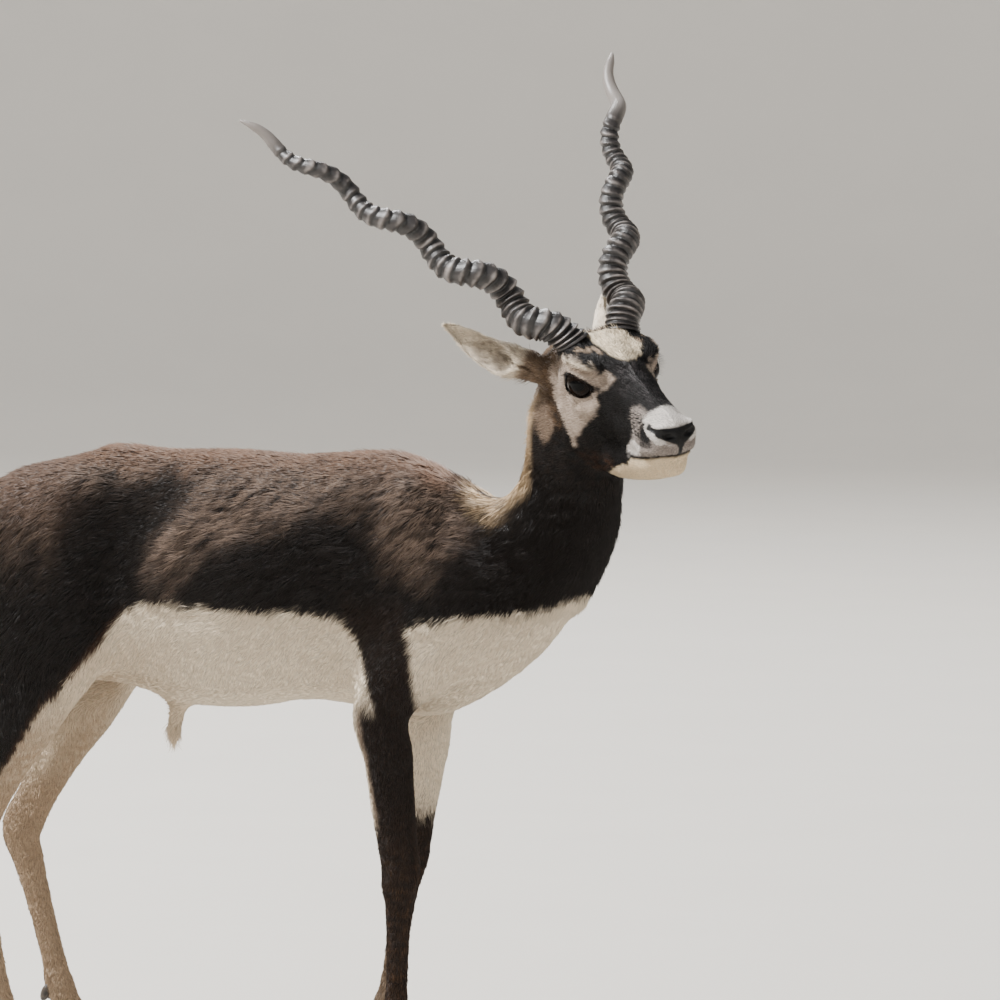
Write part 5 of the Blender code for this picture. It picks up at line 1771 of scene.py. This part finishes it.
# For each group: name, value, what it does and, for a number, its kind
SETTINGS = {
    "skin": (
        ("body_voxel", 0.0050, "Grid on which the body's sweeps are fused", "length"),
        ("head_voxel", 0.0019, "Grid on which the head's sweeps are fused", "length"),
        ("body_faces", 60000, "Triangles kept on the skin of the body"),
        ("head_faces", 52000, "Triangles kept on the head before its face is refined")),
    "coat": (
        ("black", "#0f0a08", "Black-brown of the flanks and neck"),
        # painted highlight: greyish brown of sunlit black hair on the upper flank
        ("sheen", "#6a5a4f", "Greyish brown of the upper flank"),
        ("back", "#5c4638", "Rusty brown along the back"),
        ("rump", "#55443a", "Brown of the rump"),
        ("cream", "#dccbb0", "Cream fan on the neck and patch on the forehead"),
        # the nape colour serves as painted rim light on the back of the neck and as the pale hair of the
        # fan
        ("nape", "#c8ad8a", "Pale nape"),
        ("white", "#e0d1bb", "White of the belly, breast and inner legs"),
        ("warm_white", "#c8b59c", "Yellowish white between the hind legs"),
        ("rust", "#432b1b", "Rusty edge between dark and white"),
        ("leg_dark", "#1a110c", "Dark outer side of the forelegs"),
        ("leg_brown", "#3d2b1d", "Brown of the lower legs"),
        ("leg_pale", "#a08b75", "Pale inner side of the lower legs"),
        ("tan", "#a18a71", "Pale tan of the hind shanks"),
        ("mask", "#0b0807", "Black mask of the face"),
        ("cheek", "#1a120d", "Dark brown cheek"),
        # painted highlight: the grey of light on the black hair of the bridge
        ("bridge", "#322e2e", "Greyed hair on the bridge of the nose"),
        ("temple", "#6a5745", "Brown behind the eye"),
        ("stripe", "#7d6b5b", "Pale stripe below the ear"),
        ("dark_stripe", "#4d3a28", "Brown stripe behind the eye ring"),
        ("ring", "#b3a293", "Pale ring round the eye"),
        ("lid", "#0d0a09", "Black skin of the lids"),
        ("streak", "#917e6b", "Brown streaks on the brow"),
        ("muzzle", "#ddd6cf", "White above the nose"),
        ("lip", "#a1968e", "Greyish white upper lip"),
        ("chin", "#e2cdac", "Cream chin"),
        # painted shade along the mouth's crease
        ("gap", "#17100c", "Line of the mouth"),
        ("nose", "#070606", "Black bare nose"),
        # painted shade inside the cup of the ear
        ("ear_shade", "#8d8072", "Brown-grey patch in the ear")),
    "tufts": (
        ("length", 1.0, "Length of the tufts, times the usual"),
        ("lift", 1.0, "How far the tufts stand off, times the usual"),
        ("mess", math.radians(9.0), "Random turn of a tuft", "angle"),
        ("variety", 0.16, "Random lightness of a tuft"),
        ("gloss_roughness", 0.52, "Roughness of the hair's gloss", "share")),
    "horns": (
        ("rings", 36, "Raised rings on each horn"),
        ("groove", 0.24, "Depth of a groove as a share of the radius"),
        # painted shade: near black down in the grooves of the rings
        ("groove_colour", "#0f0c0b", "Keratin down in the grooves"),
        ("horn_colour", "#2b2624", "Keratin between groove and crest"),
        # painted highlight: pale grey on the crests of the rings
        ("crest_colour", "#8a827d", "Worn crests of the rings"),
        ("tip_colour", "#7d7671", "Smooth polished tip")),
    "eyes": (
        ("iris_colour", "#120a06", "Dark brown iris"),
        ("rim_colour", "#0b0705", "Dark rim of the eye outside the iris")),
    "hooves": (
        ("hoof_colour", "#1c1815", "Black horn of the hoof"),
        ("dust_colour", "#4a3f34", "Dust on the hoof")),
    "stage": (
        ("azimuth", math.radians(20.0), "How far ahead of the right side the camera stands", "angle"),
        ("elevation", math.radians(4.0), "How far above level the camera looks from", "angle"),
        ("distance", 8.0, "From the camera to the plane it is aimed at", "length"),
        ("field", 1.24, "Width of the picture at that distance", "length"),
        ("target_height", 0.7376, "Height of the point in the picture's middle", "length"),
        ("key_power", 2900.0, "Power of the large soft light", "power"),
        ("air_strength", 0.38, "Strength of the even light from all sides"),
        ("floor_colour", "#d9d4cc", "Pale matt floor"),
        ("air_colour", "#dfe3e8", "Even light around"))}
NUMBER_KINDS = {
    "plain": {}, "share": {"min": 0.0, "max": 1.0}, "angle": {"subtype": "ANGLE"},
    "power": {"unit": "POWER"}, "length": {"min": 0.0, "unit": "LENGTH", "precision": 4}}


def label_of(name):
    return name.replace("_", " ").capitalize()


def setting(name, value, description, kind="plain"):
    """A property: a colour where the value is its code, a whole number or a number."""
    about = {"name": label_of(name), "description": description}
    if isinstance(value, str):
        return bpy.props.FloatVectorProperty(
            **about, default=tuple(linear(value)), subtype="COLOR", size=3, min=0.0, max=1.0)
    if isinstance(value, int):
        return bpy.props.IntProperty(**about, default=value)
    return bpy.props.FloatProperty(**about, default=value, **NUMBER_KINDS[kind])


def settings_group(name):
    fields = {row[0]: setting(*row) for row in SETTINGS[name]}
    title = f"Blackbuck{label_of(name)}Settings"
    return type(title, (bpy.types.PropertyGroup,), {"__annotations__": fields})


def operator_for(name, action):
    """An operator that runs one step; its description is the step's own."""

    def execute(self, context):
        action()
        return {"FINISHED"}

    return type("Blackbuck" + label_of(name), (bpy.types.Operator,), {
        "__doc__": action.__doc__, "bl_idname": "blackbuck." + name, "bl_label": label_of(name),
        "execute": execute})


class BlackbuckPanel(bpy.types.Panel):
    """Lists the steps that dress the animal"""

    bl_idname = "BLACKBUCK_PT_steps"
    bl_label = "Blackbuck"
    bl_space_type = "VIEW_3D"
    bl_region_type = "UI"
    bl_category = "Blackbuck"

    def draw(self, context):
        for name in STEPS:
            self.layout.operator("blackbuck." + name)
        for name, rows in SETTINGS.items():
            box = self.layout.box()
            for field, *_ in rows:
                box.prop(scene_settings(name), field)


GROUPS = {name: settings_group(name) for name in SETTINGS}
CLASSES = (*(operator_for(name, action) for name, action in STEPS.items()), BlackbuckPanel)


def register():
    for name, group in GROUPS.items():
        bpy.utils.register_class(group)
        setattr(bpy.types.Scene, "blackbuck_" + name, bpy.props.PointerProperty(type=group))
    for thing in CLASSES:
        bpy.utils.register_class(thing)


def unregister():
    for thing in CLASSES:
        bpy.utils.unregister_class(thing)
    for name, group in GROUPS.items():
        delattr(bpy.types.Scene, "blackbuck_" + name)
        bpy.utils.unregister_class(group)


def main():
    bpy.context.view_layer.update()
    register()
    for name in STEPS:
        getattr(bpy.ops.blackbuck, name)()


if __name__ == "__main__":
    main()
